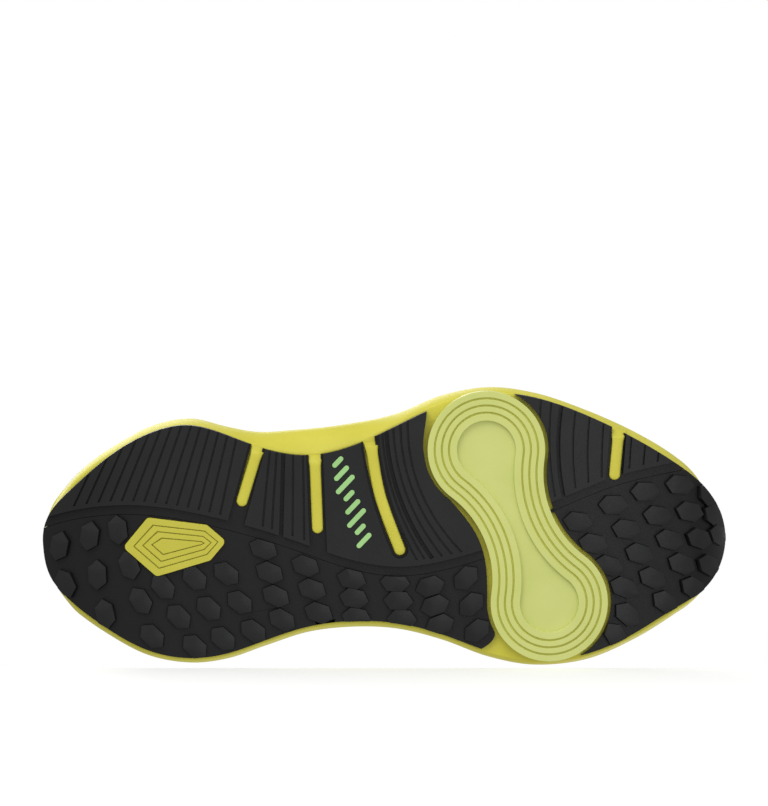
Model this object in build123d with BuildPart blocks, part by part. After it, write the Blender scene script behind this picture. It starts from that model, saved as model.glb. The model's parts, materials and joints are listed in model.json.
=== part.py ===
from build123d import *
import copy
import math
import os

# A right running shoe for trails. The design frame has X from the heel (0) to the toe,
# +Y to the medial side, +Z up, and the ground at Z = 0. Every piece is moved at the end
# so that the origin is at the bottom centre of the whole shoe. Millimetres.

# Overall sizes
shoe_length = 300.0
sole_width = 120.0
heel_stack = 30.0
forefoot_stack = 23.0
collar_height = 98.0
instep_height = 104.0
toe_box_height = 31.0

# Ground line, seen from the side
heel_roll_length = 52.0
heel_roll_radius = 140.0
toe_roll_length = 90.0
toe_roll_radius = 240.0
toe_tip_length = 18.0
toe_tip_radius = 30.0

# Rubber tread
lug_height = 3.6
rubber_thickness = 2.4
pad_height = 2.4
groove_width = 0.9
groove_depth = 1.1
lug_width = 9.1
lug_stretch = 1.42
lug_draft = 5.0
lug_facet_slope = 0.26
lug_set_back = 0.3
seam_gap = 0.2
bar_width = 5.2
bar_clearance = 1.1
channel_reach = 0.45
bar_gap = 0.15
bar_stand = 1.2
pad_gap_width = 1.8
pad_channel = 4.2
pad_border = 1.8

# Forefoot pod and heel insert
pod_radius = 25.6
pod_neck = 31.4
pod_ring_count = 3
pod_ring_pitch = 3.1
pod_groove_width = 0.8
pod_groove_depth = 0.9
pod_hollow_depth = 1.9
pod_hollow_inset = 12.8
pod_gap = 1.5
insert_height = 2.2
# grooves as shares of the way from the insert's edge to its core
insert_grooves = [0.36, 0.68, 1.0]
insert_groove_share = 0.055
insert_groove_depth = 0.6
insert_gap = 0.25

# Midsole
midsole_rim = 1.3
cup_depth = 8.0
wall_height = 19.0
# levels of the midsole's wall: height, share of the way from tread edge to wall, inset
midsole_levels = [
    (-8.0, 0.0, -midsole_rim),
    (wall_height, 1.0, -midsole_rim),
    (wall_height + 16, 0.9, 0.4),
    (75.0, 0.2, 9.0),
]

# where the midsole's upper edge is set: share of the length, share of the cup's depth
midsole_edge = [
    (-0.03, 1.5), (0.05, 1.3), (0.2, 1.0), (0.4, 0.75), (0.6, 0.7), (0.78, 0.8), (0.92, 0.9), (1.02, 1.0),
]
# where the foot bed's curve is measured, as shares of the length
bed_shares = (-0.02, 0.2, 0.32, 0.43, 0.54, 0.66, 0.72, 0.8, 0.88, 0.94, 1.01)

# Upper
upper_thickness = 1.6
overlay_thickness = 1.0
foam_thickness = 4.2
lining_thickness = 0.9
board_thickness = 1.4
insole_thickness = 4.5
counter_thickness = 1.5
counter_height = 38.0
counter_reach = 0.24
puff_thickness = 1.2
puff_start = 0.86
padding_front = 0.325
tongue_thickness = 4.6
tongue_gap = 0.8
fit_gap = 0.3
throat_back_width = 36.0
throat_front_width = 19.0
eyelet_rows = 6
eyelet_radius = 2.1
eyelet_margin = 7.0
eyestay_width = 14.5
lace_diameter = 3.2
lace_join = 0.8
lace_bend = 1.9
rand_height = 13.0
toe_cap_start = 0.873
heel_clip_reach = 0.107
heel_clip_height = 36.0
collar_band = 7.0
form_drop = 12.0
form_least = 3.0
throat_front = 0.63
throat_back = 0.36
eyelet_front = 0.635
eyelet_back = 0.385
eyestay_back = 0.345
hole_floor = 46.0
tongue_inset = 5.3
tongue_hinge = 0.347
tongue_top = 0.275
flap_overlap = 4.5
flap_corner = 9.0
tongue_overlap = 9.0
strap_foot = 17.0
strap_top = 9.0
# the collar's edge: share of the length, share of the collar's height
collar_points = [
    (-0.06, 0.99), (0.02, 1.035), (0.05, 1.01), (0.117, 0.86), (0.183, 0.76), (0.25, 0.765), (0.317, 0.88),
    (0.36, 1.0), (0.4, 1.1), (0.6, 1.5), (1.06, 1.6),
]
# quarter straps: foot and top of each band as shares of the length and the collar's height
strap_lines = [((0.5, 0.25), (0.425, 1.0)), ((0.39, 0.28), (0.375, 1.1))]

# Pull tab
tab_width = 13.0
tab_height = 24.0
tab_gap = 8.0
tab_thickness = 1.6
tab_base = 5.0
tab_set_in = 4.2
anchor_outside = 22.0
anchor_inside = 14.0

# Arch mark: plain raised strokes
mark_count = 8
mark_width = 2.2
mark_height = 0.7
mark_length = 11.0
mark_lean = 62.0
mark_line = [(43.2, -30), (47.0, -1.5)]

big = 400.0


def foot(along, across):
    """A plan point from shares, in percent, of the shoe's length and the sole's width."""
    return (along / 100 * shoe_length, across / 100 * sole_width)


# ---------------------------------------------------------------- plan shapes, in percent
# along, lateral tread edge, lateral wall, medial tread edge, medial wall
sole_stations = [
    (1.4, -11.5, -12.8, 12.8, 14.2),
    (4.5, -20.0, -21.6, 21.5, 23.2),
    (9.5, -31.0, -32.8, 30.6, 32.2),
    (15.5, -40.0, -41.8, 38.6, 40.1),
    (21.5, -43.3, -45.0, 41.5, 42.9),
    (27.0, -39.8, -42.1, 39.9, 41.4),
    (32.5, -34.8, -39.6, 35.2, 36.7),
    (38.8, -32.4, -40.2, 30.1, 31.6),
    (45.5, -36.0, -42.4, 28.0, 29.7),
    (52.0, -43.4, -46.0, 28.9, 30.4),
    (58.5, -50.9, -52.8, 33.0, 34.4),
    (65.3, -54.9, -56.5, 39.2, 40.6),
    (72.0, -53.2, -54.8, 42.2, 43.5),
    (79.5, -46.6, -48.4, 40.0, 41.5),
    (86.5, -38.0, -40.4, 32.6, 34.2),
    (92.5, -28.8, -31.2, 23.7, 25.2),
    (97.0, -19.2, -20.6, 16.4, 17.4),
]
heel_back = 0.2
seam_rear = [
    (-2, -3), (6.5, -9.5), (13, -10.8), (25, -6.5), (37, 2.2),
    (45, 9), (52.3, 11.6), (59, 9.2), (66, 4),
]
seam_toe = [
    (63, -2), (68, -5.5), (72, -9.5), (77.5, -15.3), (83.5, -21),
    (89, -24.4), (96, -27.5), (103, -30),
]
rear_front_edge = [
    (55.4, -58), (55.7, -40), (55.6, -34.6), (56.2, -28.3), (58.2, -20), (60.8, -12.2), (63.1, -4.4),
    (64.3, 2.8), (64.8, 10), (64.9, 18.2), (65.2, 25), (66, 31), (65.9, 34), (64.8, 37), (62.2, 42),
]
lobe_lateral = (64.75, -34.4)
lobe_medial = (73.9, 21.2)
# straight flex bars: inner end, outer end
bars = [((29.3, -15.8), (32.6, -46)), ((40.25, -6), (39.6, -46)), ((83.4, -25.3), (84.3, -55))]
curved_bar = [(52.2, 2), (49.3, -18), (47.3, -48)]
insert_corners = [(15.6, -9.8), (24.2, -7.1), (27.0, -1.1), (24.7, 5.8), (16.9, 11.7), (12.0, 1.1)]
insert_core = [(17.6, -2.5), (23.4, -1.2), (23.9, -0.5), (23.4, 0.2), (17.8, 3.9), (16.1, 0.1)]
# columns of lugs: first, last, count, turn of the first and last lug from the shoe's axis
rear_lugs = [
    ((2.5, 1.0), (3.4, 14.6), 2, 104, 66),
    ((7.0, -2.9), (9.3, 25.4), 3, 100, 78),
    ((11.2, -5.2), (16.2, 33.4), 4, 84, 45),
    ((17.8, 15.4), (22.4, 37.2), 3, 50, 44),
    ((22.4, 12.2), (26.5, 34.3), 3, 45, 42),
    ((27.0, 10.6), (30.9, 31.5), 3, 38, 37),
    ((32.4, 1.6), (35.1, 27.4), 4, 23, 30),
    ((38.5, 7.8), (40.4, 24.8), 3, 22, 20),
    ((45.2, 12.6), (45.9, 26.6), 3, 15, 10),
    ((51.5, 13.8), (52.5, 27.2), 3, 5, 3),
    ((56.6, 15.2), (58.0, 29.2), 3, -16, -20),
    ((61.8, 12.2), (63.4, 31.4), 3, -44, -38),
]
toe_lugs = [
    ((78.1, -8.2), (84.9, 15.9), 4, 8, 22),
    ((85.4, 25.8), (83.7, 33.6), 2, 40, 58),
    ((83.3, -14.2), (91.0, 21.6), 5, 2, 34),
    ((88.0, -18.9), (95.2, 16.6), 5, 2, 30),
    ((93.1, -21.2), (97.6, 8.6), 4, 6, 24),
    ((97.6, -16.8), (99.1, -2.2), 3, 40, 20),
]
# lateral tread pads: percent of length between which a deep gap parts two pads
pad_gaps = [
    [(34.9, 3), (35.2, -24), (35.6, -58)],
    [(56.9, 5.0), (51.3, -24), (50.6, -60)],
    [(77.2, -6), (75.2, -32), (76.9, -64)],
]
# sets of ribs: the curve before the first groove, the curve after the last, how many grooves
rib_sets = [
    ([(2.1, -8), (6.6, -31), (11.4, -54)], [(27.4, -6), (29.0, -27), (30.8, -50)], 14),
    ([(30.6, 2), (31.8, -24), (33.4, -50)], [(34.9, 2), (35.2, -24), (35.6, -50)], 2),
    ([(34.9, 2), (35.2, -24), (35.6, -50)], [(40.0, 2), (39.7, -24), (39.0, -50)], 2),
    ([(53.6, 6), (49.9, -18), (48.2, -52)], [(56.9, 5), (51.3, -24), (50.6, -60)], 2),
    ([(56.9, 5), (51.3, -24), (50.6, -60)], [(62.6, 2), (55.6, -24), (55.2, -60)], 3),
    ([(73.0, -7), (71.4, -33), (71.2, -64)], [(77.2, -6), (75.2, -32), (76.9, -64)], 2),
    ([(77.2, -6), (75.2, -32), (76.9, -64)], [(83.4, -10), (83.6, -34), (84.5, -60)], 3),
    ([(83.4, -10), (83.6, -34), (84.5, -60)], [(93.6, -16), (93.8, -30), (95.5, -44)], 4),
]

# ---------------------------------------------------------------- the foot form
# along in percent, centre across in percent, half width in mm, rise as a share of the instep's
upper_stations = [
    (2.2, -0.6, 14.0, 1.62), (3.6, -0.6, 22.0, 1.66), (6.5, -0.7, 30.0, 1.69), (11.0, -0.8, 36.0, 1.70),
    (17.5, -1.2, 39.6, 1.70), (25.0, -2.0, 39.6, 1.60), (31.0, -3.2, 38.4, 1.33), (37.0, -4.8, 38.0, 1.0),
    (45.0, -6.6, 40.2, 0.76), (53.0, -7.8, 44.8, 0.56), (61.0, -8.0, 50.0, 0.39), (69.0, -7.2, 52.6, 0.24),
    (77.0, -5.8, 50.6, 0.11), (84.5, -4.0, 43.8, -0.03), (90.5, -2.4, 34.0, -0.19),
    (94.4, -1.4, 23.8, -0.36),
    (96.6, -0.8, 13.6, -0.53),
]
section_power = 2.05
instep_at = 37.0


# ---------------------------------------------------------------- heights
def toe_arcs():
    """Start and end of the two arcs that roll the sole up at the toe."""
    x1 = shoe_length - toe_roll_length
    x2 = shoe_length - toe_tip_length
    z2 = toe_roll_radius - math.sqrt(toe_roll_radius**2 - (x2 - x1) ** 2)
    lean = math.asin((x2 - x1) / toe_roll_radius)
    return x1, x2, z2, lean


def ground_height(x):
    """Height of the lug tips at a distance x from the heel."""
    x1, x2, z2, lean = toe_arcs()
    if x < heel_roll_length:
        return heel_roll_radius - math.sqrt(heel_roll_radius**2 - (heel_roll_length - x) ** 2)
    if x <= x1:
        return 0.0
    if x <= x2:
        return toe_roll_radius - math.sqrt(toe_roll_radius**2 - (x - x1) ** 2)
    centre_x = x2 - toe_tip_radius * math.sin(lean)
    centre_z = z2 + toe_tip_radius * math.cos(lean)
    reach = min(x - centre_x, toe_tip_radius * 0.985)
    return centre_z - math.sqrt(toe_tip_radius**2 - reach**2)


def ground_slope(x):
    """Slope angle of the ground line in degrees, rising towards the toe."""
    step = 0.05
    return math.degrees(math.atan2(ground_height(x + step) - ground_height(x - step), 2 * step))


def foot_bed(x):
    """Height of the surface the foot's board lies on."""
    back, front = 0.2 * shoe_length, 0.66 * shoe_length
    t = min(max((x - back) / (front - back), 0.0), 1.0)
    t = t * t * (3 - 2 * t)
    stack = heel_stack + (forefoot_stack - heel_stack) * t
    x1 = shoe_length - toe_roll_length
    lift = 0.0
    if x > x1:
        lift = toe_roll_radius - math.sqrt(toe_roll_radius**2 - (x - x1) ** 2)
    return stack + lift


def form_top(along, rise):
    """Height of the foot form's ridge at a station."""
    low = foot_bed(along / 100 * shoe_length) + toe_box_height
    instep_low = foot_bed(instep_at / 100 * shoe_length) + toe_box_height
    return low + (instep_height - instep_low) * rise


def between(value, rows, column):
    """Straight interpolation of a column of upper_stations at a share of the length."""
    last = len(rows) - 2
    i = max(k for k in range(last + 1) if rows[k][0] <= value or k == 0)
    a, b = rows[i], rows[i + 1]
    t = min(max((value - a[0]) / (b[0] - a[0]), 0.0), 1.0)
    return a[column] + (b[column] - a[column]) * t


def form_height(x, y, inset=0.0):
    """Height of the foot form's outer surface over a plan point."""
    along = x / shoe_length * 100
    tops = [(row[0], form_top(row[0], row[3])) for row in upper_stations]
    centre = between(along, upper_stations, 1) / 100 * sole_width
    half = between(along, upper_stations, 2) * width_ratio() - inset
    top = between(along, tops, 1) - inset
    bed = foot_bed(x)
    share = min(abs(y - centre) / half, 0.98)
    return bed + (top - bed) * (1 - share**section_power) ** (1 / section_power)


def width_ratio():
    """How far the foot form is scaled with the sole's width."""
    return sole_width / 120.0


def throat_half(x):
    """Half width of the throat opening at a distance from the heel."""
    back, front = throat_back * shoe_length, throat_front * shoe_length
    t = min(max((x - back) / (front - back), 0.0), 1.0)
    return (throat_back_width + (throat_front_width - throat_back_width) * t) / 2


def ridge_centre(x):
    """Centre line of the upper across the shoe."""
    return between(x / shoe_length * 100, upper_stations, 1) / 100 * sole_width


def heel_centre():
    """Centre line of the heel across the shoe, where the pull tab stands."""
    return ridge_centre(0.05 * shoe_length)


# ---------------------------------------------------------------- shared shapes
def sole_points(wall_share, inset):
    """Points of the sole's outline: 0 is the tread edge, 1 the wall at its widest."""
    middle = shoe_length / 2
    squeeze = 1 - 2 * inset / shoe_length
    lateral, medial = [], []
    for along, tread_l, wall_l, tread_m, wall_m in sole_stations:
        x = middle + (along / 100 * shoe_length - middle) * squeeze
        y_l = (tread_l + (wall_l - tread_l) * wall_share) / 100 * sole_width + inset
        y_m = (tread_m + (wall_m - tread_m) * wall_share) / 100 * sole_width - inset
        lateral.append((x, y_l))
        medial.append((x, y_m))
    heel = (middle + (heel_back / 100 * shoe_length - middle) * squeeze, 0.0)
    toe = (middle + (shoe_length * 0.999 - middle) * squeeze, 0.0)
    return [heel, *lateral, toe, *reversed(medial)]


def ground_band(low, high):
    """A block across the whole sole between two heights above the ground line."""
    back, front = -6.0, shoe_length + 1.0
    x1, x2 = toe_arcs()[:2]
    knots = [back, heel_roll_length, x1, x2, front]

    def at(x, lift):
        return (x, ground_height(x) + lift)

    with BuildPart() as band:
        with BuildSketch(Plane.XZ):
            with BuildLine():
                for lift in (low, high):
                    for i, (a, b) in enumerate(zip(knots, knots[1:])):
                        if i == 1:
                            Line(at(a, lift), at(b, lift))
                        else:
                            ThreePointArc(at(a, lift), at((a + b) / 2, lift), at(b, lift))
                Line(at(back, low), at(back, high))
                Line(at(front, low), at(front, high))
            make_face()
        extrude(amount=big / 4, both=True)
    return band.part


def column(region, low=-10.0, high=140.0):
    """A plan region raised into a vertical block."""
    with BuildPart() as block:
        with BuildSketch(Plane.XY.offset(low)):
            add(region)
        extrude(amount=high - low)
    return block.part


def tread_region():
    """The plan region inside the tread's edge."""
    with BuildSketch() as region:
        with BuildLine():
            Spline(*sole_points(0, 0), periodic=True)
        make_face()
    return region.sketch


def half_plane(curve, side):
    """The plan region on one side of a curve that crosses the sole: lateral is -1, medial +1."""
    points = [foot(*p) for p in curve]
    far = side * big / 2
    with BuildSketch() as region:
        with BuildLine():
            Spline(*points)
            Polyline(points[-1], (points[-1][0], far), (points[0][0], far), points[0])
        make_face()
    return region.sketch


def behind_front_edge():
    """The plan region behind the rear tread's front edge."""
    points = [foot(*p) for p in rear_front_edge]
    with BuildSketch() as region:
        with BuildLine():
            Spline(*points)
            Polyline(points[-1], (-big / 4, points[-1][1]), (-big / 4, points[0][1]), points[0])
        make_face()
    return region.sketch


def ahead_of_pod():
    """The plan region in front of the line through the pod's two lobes."""
    a, b = foot(*lobe_lateral), foot(*lobe_medial)
    dx, dy = b[0] - a[0], b[1] - a[1]
    top, bottom = (a[0] - 2 * dx, a[1] - 2 * dy), (b[0] + 2 * dx, b[1] + 2 * dy)
    with BuildSketch() as region:
        with BuildLine():
            Polyline(top, bottom, (big, bottom[1]), (big, top[1]), close=True)
        make_face()
    return region.sketch


def pod_outline(grow):
    """The peanut shape of the pod, grown or shrunk by an offset: two lobes and a neck of arcs."""
    a, b = Vector(*foot(*lobe_lateral)), Vector(*foot(*lobe_medial))
    radius, neck = pod_radius + grow, pod_neck / 2 + grow
    axis = b - a
    half = axis.length / 2
    bend = (half**2 + neck**2 - radius**2) / (2 * (radius - neck))
    along, across = axis.normalized(), axis.normalized().rotate(Axis.Z, 90)
    middle = (a + b) / 2
    touch = radius / (radius + bend)
    with BuildSketch() as region:
        with BuildLine():
            ends = {}
            for side in (1, -1):
                centre = middle + across * (side * (neck + bend))
                p = a + (centre - a) * touch
                q = b + (centre - b) * touch
                ThreePointArc(p, middle + across * (side * neck), q)
                ends[side] = (p, q)
            ThreePointArc(ends[1][0], a - along * radius, ends[-1][0])
            ThreePointArc(ends[1][1], b + along * radius, ends[-1][1])
        make_face()
    return region.sketch


def straight_bar(inner, outer, width):
    """A slot with a round inner end."""
    a, b = Vector(*foot(*inner)), Vector(*foot(*outer))
    run = b - a
    with BuildSketch() as slot:
        turn = math.degrees(math.atan2(run.Y, run.X))
        with Locations(Location(tuple((a + b) / 2), (0, 0, turn))):
            SlotCenterToCenter(run.length, width)
    return slot.sketch


def bar_channels():
    """Plan strips round the flex bars and on to the seam that the raised pads stay out of."""
    width = bar_width + 2 * bar_clearance
    with BuildSketch() as channels:
        for inner, outer in bars:
            a, b = Vector(*inner), Vector(*outer)
            reach = a + (a - b) * channel_reach
            add(straight_bar((reach.X, reach.Y), outer, width))
        SlotArc(slot_path(*(foot(*p) for p in curved_bar)), width)
    return channels.sketch


def slot_path(a, m, b):
    """The middle line of a bar that follows a gentle arc."""
    return ThreePointArc(a, m, b, mode=Mode.PRIVATE)


def all_bars(width):
    """The plan of all flex bars."""
    with BuildSketch() as slots:
        for inner, outer in bars:
            add(straight_bar(inner, outer, width))
        SlotArc(slot_path(*(foot(*p) for p in curved_bar)), width)
    return slots.sketch


def insert_outline(grow):
    """The outline of the heel insert, grown by an offset."""
    with BuildSketch() as outline:
        with BuildLine():
            Polyline(*[foot(*p) for p in insert_corners], close=True)
        make_face()
        fillet(outline.vertices(), 2.2)
        if grow:
            offset(amount=grow)
    return outline.sketch


def insert_level(share):
    """A many-sided outline between the insert's edge, at 0, and its core, at 1."""
    corners = []
    for edge, core in zip(insert_corners, insert_core):
        corners.append(foot(edge[0] + (core[0] - edge[0]) * share, edge[1] + (core[1] - edge[1]) * share))
    with BuildSketch() as outline:
        with BuildLine():
            Polyline(*corners, close=True)
        make_face()
    return outline.sketch


def foot_form(inset, floor_drop):
    """The outer shape of the foot and ankle, shrunk by an inset, with its floor let down.

    Stations that the inset leaves no room at, near the toe's tip, are left out.
    """
    middle = shoe_length / 2
    squeeze = 1 - 2 * inset / shoe_length
    with BuildPart() as form:
        for along, centre_share, half_width, rise in upper_stations:
            x = along / 100 * shoe_length
            bed = foot_bed(x)
            top = form_top(along, rise) - inset
            half = half_width * width_ratio() - inset
            if min(half, top - bed) < form_least:
                continue
            centre = centre_share / 100 * sole_width
            placed = middle + (x - middle) * squeeze
            points = []
            for step in range(9):
                angle = math.pi * step / 8
                c, s = math.cos(angle), math.sin(angle)
                y = centre + half * math.copysign(abs(c) ** (2 / section_power), c)
                points.append((y, bed + (top - bed) * abs(s) ** (2 / section_power)))
            with BuildSketch(Plane(origin=(placed, 0, 0), x_dir=(0, 1, 0), z_dir=(1, 0, 0))):
                with BuildLine():
                    Spline(*points)
                    left, right = points[-1][0], points[0][0]
                    floor = bed - floor_drop
                    Polyline(points[-1], (left, floor), (right, floor), points[0])
                make_face()
        loft()
    return form.part


def bed_slab(low, high):
    """A block across the whole shoe between two heights above the foot bed."""
    places = [shoe_length * share for share in bed_shares]
    with BuildPart() as slab:
        with BuildSketch(Plane.XZ):
            with BuildLine():
                lower = Spline(*[(x, foot_bed(x) + low) for x in places])
                upper = Spline(*[(x, foot_bed(x) + high) for x in places])
                Line(lower @ 0, upper @ 0)
                Line(lower @ 1, upper @ 1)
            make_face()
        extrude(amount=big / 4, both=True)
    return slab.part


def side_cut(points, low=-20.0):
    """A block across the shoe below a line seen from the side."""
    with BuildPart() as block:
        with BuildSketch(Plane.XZ):
            with BuildLine():
                Spline(*points)
                Polyline(points[0], (points[0][0], low), (points[-1][0], low), points[-1])
            make_face()
        extrude(amount=big / 4, both=True)
    return block.part


def shifted(curve, amount):
    """A seam's curve moved across the shoe by an amount in mm, medial side up."""
    return [(along, across + amount / sole_width * 100) for along, across in curve]


# ---------------------------------------------------------------- rubber tread
def make_lug(width, stretch):
    """One lug: a drafted hexagonal block whose tip has three flat facets. Its tip is at Z = 0."""
    radius = width / 2 + lug_height * math.tan(math.radians(lug_draft))
    turns = [math.radians(60 * i) for i in range(6)]
    corners = [(stretch * radius * math.cos(turn), radius * math.sin(turn)) for turn in turns]
    with BuildPart() as block:
        with BuildSketch(Plane.XY.offset(lug_height + 0.4)):
            with BuildLine():
                Polyline(*corners, close=True)
            make_face()
        extrude(amount=-(lug_height + 0.4), taper=lug_draft)
        for turn in (0, 120, 240):
            toward = math.radians(turn)
            lean = (lug_facet_slope * math.cos(toward) / stretch, lug_facet_slope * math.sin(toward), 1)
            split(bisect_by=Plane(origin=(0, 0, 0), z_dir=lean), keep=Keep.TOP)
    return block.part


def column_places(first, last, count, turn_first, turn_last):
    """Places of one column of lugs, tilted to follow the ground line."""
    places = []
    for i in range(count):
        t = i / max(count - 1, 1)
        x, y = foot(first[0] + (last[0] - first[0]) * t, first[1] + (last[1] - first[1]) * t)
        turn = turn_first + (turn_last - turn_first) * t
        tilt = Location((x, y, ground_height(x) + lug_set_back), (0, -ground_slope(x), 0))
        places.append(tilt * Location((0, 0, 0), (0, 0, turn)))
    return places


def lugs_over(region, columns):
    """All lugs of some columns, trimmed to a plan region."""
    lug = make_lug(lug_width, lug_stretch)
    with BuildPart() as lugs:
        for row in columns:
            with Locations(*column_places(*row)):
                add(lug)
        add(column(region), mode=Mode.INTERSECT)
        add(ground_band(-rubber_thickness, lug_height + rubber_thickness / 2), mode=Mode.INTERSECT)
    return lugs.part


def rubber_base(region):
    """The flat layer of rubber that carries lugs and pads."""
    with BuildPart() as base:
        add(column(region))
        add(ground_band(lug_height, lug_height + rubber_thickness), mode=Mode.INTERSECT)
    return base.part


def bounded_strip(curve, width):
    """A narrow plan strip along a curve through three points."""
    points = [Vector(*foot(*p)) for p in curve]
    runs = [points[1] - points[0], points[2] - points[0], points[2] - points[1]]
    sideways = [run.normalized().rotate(Axis.Z, 90) * (width / 2) for run in runs]
    one = [tuple(p + s) for p, s in zip(points, sideways)]
    other = [tuple(p - s) for p, s in zip(points, sideways)]
    with BuildSketch() as strip:
        with BuildLine():
            Spline(*one)
            Spline(*other)
            Line(one[0], other[0])
            Line(one[-1], other[-1])
        make_face()
    return strip.sketch


def rib_grooves():
    """Plan strips of all thin grooves in the pads."""
    with BuildSketch() as strips:
        for before, after, count in rib_sets:
            for i in range(1, count + 1):
                t = i / (count + 1)
                curve = [
                    (p[0] + (q[0] - p[0]) * t, p[1] + (q[1] - p[1]) * t)
                    for p, q in zip(before, after)
                ]
                add(bounded_strip(curve, groove_width))
    return strips.sketch


def pad_gap_strips():
    """Plan strips of the deep gaps between pads."""
    with BuildSketch() as strips:
        for curve in pad_gaps:
            add(bounded_strip(curve, pad_gap_width))
    return strips.sketch


def pads_over(region, seam):
    """Raised pads with thin ribs over a plan region, set back from the seam by a channel."""
    with BuildSketch() as pads:
        add(region)
        add(half_plane(shifted(seam, -pad_channel), -1), mode=Mode.INTERSECT)
        add(pad_gap_strips(), mode=Mode.SUBTRACT)
        add(bar_channels(), mode=Mode.SUBTRACT)
    with BuildSketch() as grooves:
        add(rib_grooves())
        add(half_plane(shifted(seam, -pad_channel - pad_border), -1), mode=Mode.INTERSECT)
    face = lug_height - pad_height
    with BuildPart() as cut:
        add(column(grooves.sketch))
        add(ground_band(face - 1, face + groove_depth), mode=Mode.INTERSECT)
    with BuildPart() as raised:
        add(column(pads.sketch))
        add(ground_band(face, lug_height + 0.4), mode=Mode.INTERSECT)
        add(cut.part, mode=Mode.SUBTRACT)
    return raised.part


def tread_piece(side, seam, zone):
    """Plan region of one rubber piece, clear of the pod, the insert and the flex bars."""
    gap = seam_gap / 2
    with BuildSketch() as region:
        add(tread_region())
        add(half_plane(shifted(seam, side * gap), side), mode=Mode.INTERSECT)
        add(zone, mode=Mode.INTERSECT)
        add(pod_outline(pod_gap), mode=Mode.SUBTRACT)
        add(all_bars(bar_width), mode=Mode.SUBTRACT)
        add(insert_outline(insert_gap), mode=Mode.SUBTRACT)
    return region.sketch


def build_outsole(name, side, seam, zone, columns):
    """One piece of the rubber tread: ribbed pads on the lateral side, lugs on the medial side."""
    region = tread_piece(side, seam, zone)
    with BuildPart() as rubber:
        add(rubber_base(region))
        if side < 0:
            add(pads_over(region, seam))
        else:
            add(lugs_over(region, columns))
    rubber.part.label = name
    return rubber.part


# ---------------------------------------------------------------- pod and insert
def build_pod():
    """The forefoot pod: rings parted by grooves around a hollow."""
    top = lug_height + rubber_thickness
    with BuildPart() as grooves:
        for ring in range(1, pod_ring_count + 1):
            with BuildSketch(Plane.XY.offset(-5)):
                add(pod_outline(-pod_ring_pitch * ring + pod_groove_width / 2))
                add(pod_outline(-pod_ring_pitch * ring - pod_groove_width / 2), mode=Mode.SUBTRACT)
            extrude(amount=20)
        add(ground_band(-2, pod_groove_depth), mode=Mode.INTERSECT)
    with BuildPart() as hollow:
        add(column(pod_outline(-pod_hollow_inset)))
        add(ground_band(-2, pod_hollow_depth), mode=Mode.INTERSECT)
    with BuildPart() as pod:
        add(column(pod_outline(0)))
        add(ground_band(0, top), mode=Mode.INTERSECT)
        add(grooves.part, mode=Mode.SUBTRACT)
        add(hollow.part, mode=Mode.SUBTRACT)
    pod.part.label = "forefoot_pod"
    return pod.part


def build_insert():
    """The heel insert: nested grooves round a plain core."""
    top = lug_height + rubber_thickness
    face = lug_height - insert_height
    with BuildPart() as grooves:
        with BuildSketch(Plane.XY.offset(-5)):
            for share in insert_grooves:
                add(insert_level(share))
                add(insert_level(share + insert_groove_share), mode=Mode.SUBTRACT)
        extrude(amount=20)
        add(ground_band(-2, face + insert_groove_depth), mode=Mode.INTERSECT)
    with BuildPart() as insert:
        add(column(insert_outline(0)))
        add(ground_band(face, top), mode=Mode.INTERSECT)
        add(grooves.part, mode=Mode.SUBTRACT)
    insert.part.label = "heel_insert"
    return insert.part


# ---------------------------------------------------------------- midsole
def midsole_block():
    """The foam body before the cup is taken out: flared walls over the rolled ground line."""
    with BuildPart() as block:
        for height, share, inset in midsole_levels:
            with BuildSketch(Plane.XY.offset(height)):
                with BuildLine():
                    Spline(*sole_points(share, inset), periodic=True)
                make_face()
        loft()
        add(ground_band(lug_height + rubber_thickness, 60), mode=Mode.INTERSECT)
    return block.part


def midsole_top():
    """The line of the midsole's upper edge, seen from the side."""
    points = []
    for share, lift in midsole_edge:
        x = share * shoe_length
        points.append((x, foot_bed(x) + cup_depth * lift))
    return points


def build_midsole():
    """Foam midsole: a cup for the upper on top, flex bars standing in the tread's slots below."""
    with BuildPart() as bar_blocks:
        with BuildSketch():
            add(all_bars(bar_width - 2 * bar_gap))
            add(tread_region(), mode=Mode.INTERSECT)
        extrude(amount=30)
        add(ground_band(lug_height - bar_stand, lug_height + rubber_thickness + 0.3), mode=Mode.INTERSECT)
    with BuildPart() as body:
        add(midsole_block())
        add(side_cut(midsole_top()), mode=Mode.INTERSECT)
        with BuildPart(mode=Mode.PRIVATE) as cup:
            add(foot_form(-overlay_thickness - fit_gap, form_drop))
            add(bed_slab(0, 160), mode=Mode.INTERSECT)
        add(cup.part, mode=Mode.SUBTRACT)
        add(bar_blocks.part)
    body.part.label = "midsole"
    return body.part


def build_arch_mark():
    """A generic mark on the smooth arch panel: slanted strokes of growing length in a row."""
    start, end = Vector(*foot(*mark_line[0])), Vector(*foot(*mark_line[1]))
    run = end - start
    face = lug_height - pad_height
    with BuildPart() as mark:
        with BuildSketch():
            for i in range(mark_count):
                spot = start + run * (i / (mark_count - 1))
                length = mark_length * (0.55 + 0.45 * (i % 3) / 2)
                turn = math.degrees(math.atan2(run.Y, run.X)) + mark_lean
                with Locations(Location(tuple(spot), (0, 0, turn))):
                    SlotOverall(length, mark_width)
        extrude(amount=10)
        add(ground_band(face - mark_height, face), mode=Mode.INTERSECT)
    mark.part.label = "arch_mark"
    return mark.part


# ---------------------------------------------------------------- upper
def skin(outer, inner):
    """The layer between two insets of the foot form, open at the bottom."""
    with BuildPart() as layer:
        add(foot_form(outer, form_drop))
        add(foot_form(inner, form_drop + 5), mode=Mode.SUBTRACT)
    return layer.part


def collar_line(lift=0.0):
    """The collar's edge seen from the side, from behind the heel to ahead of the throat."""
    return [(share * shoe_length, height * collar_height + lift) for share, height in collar_points]


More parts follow.
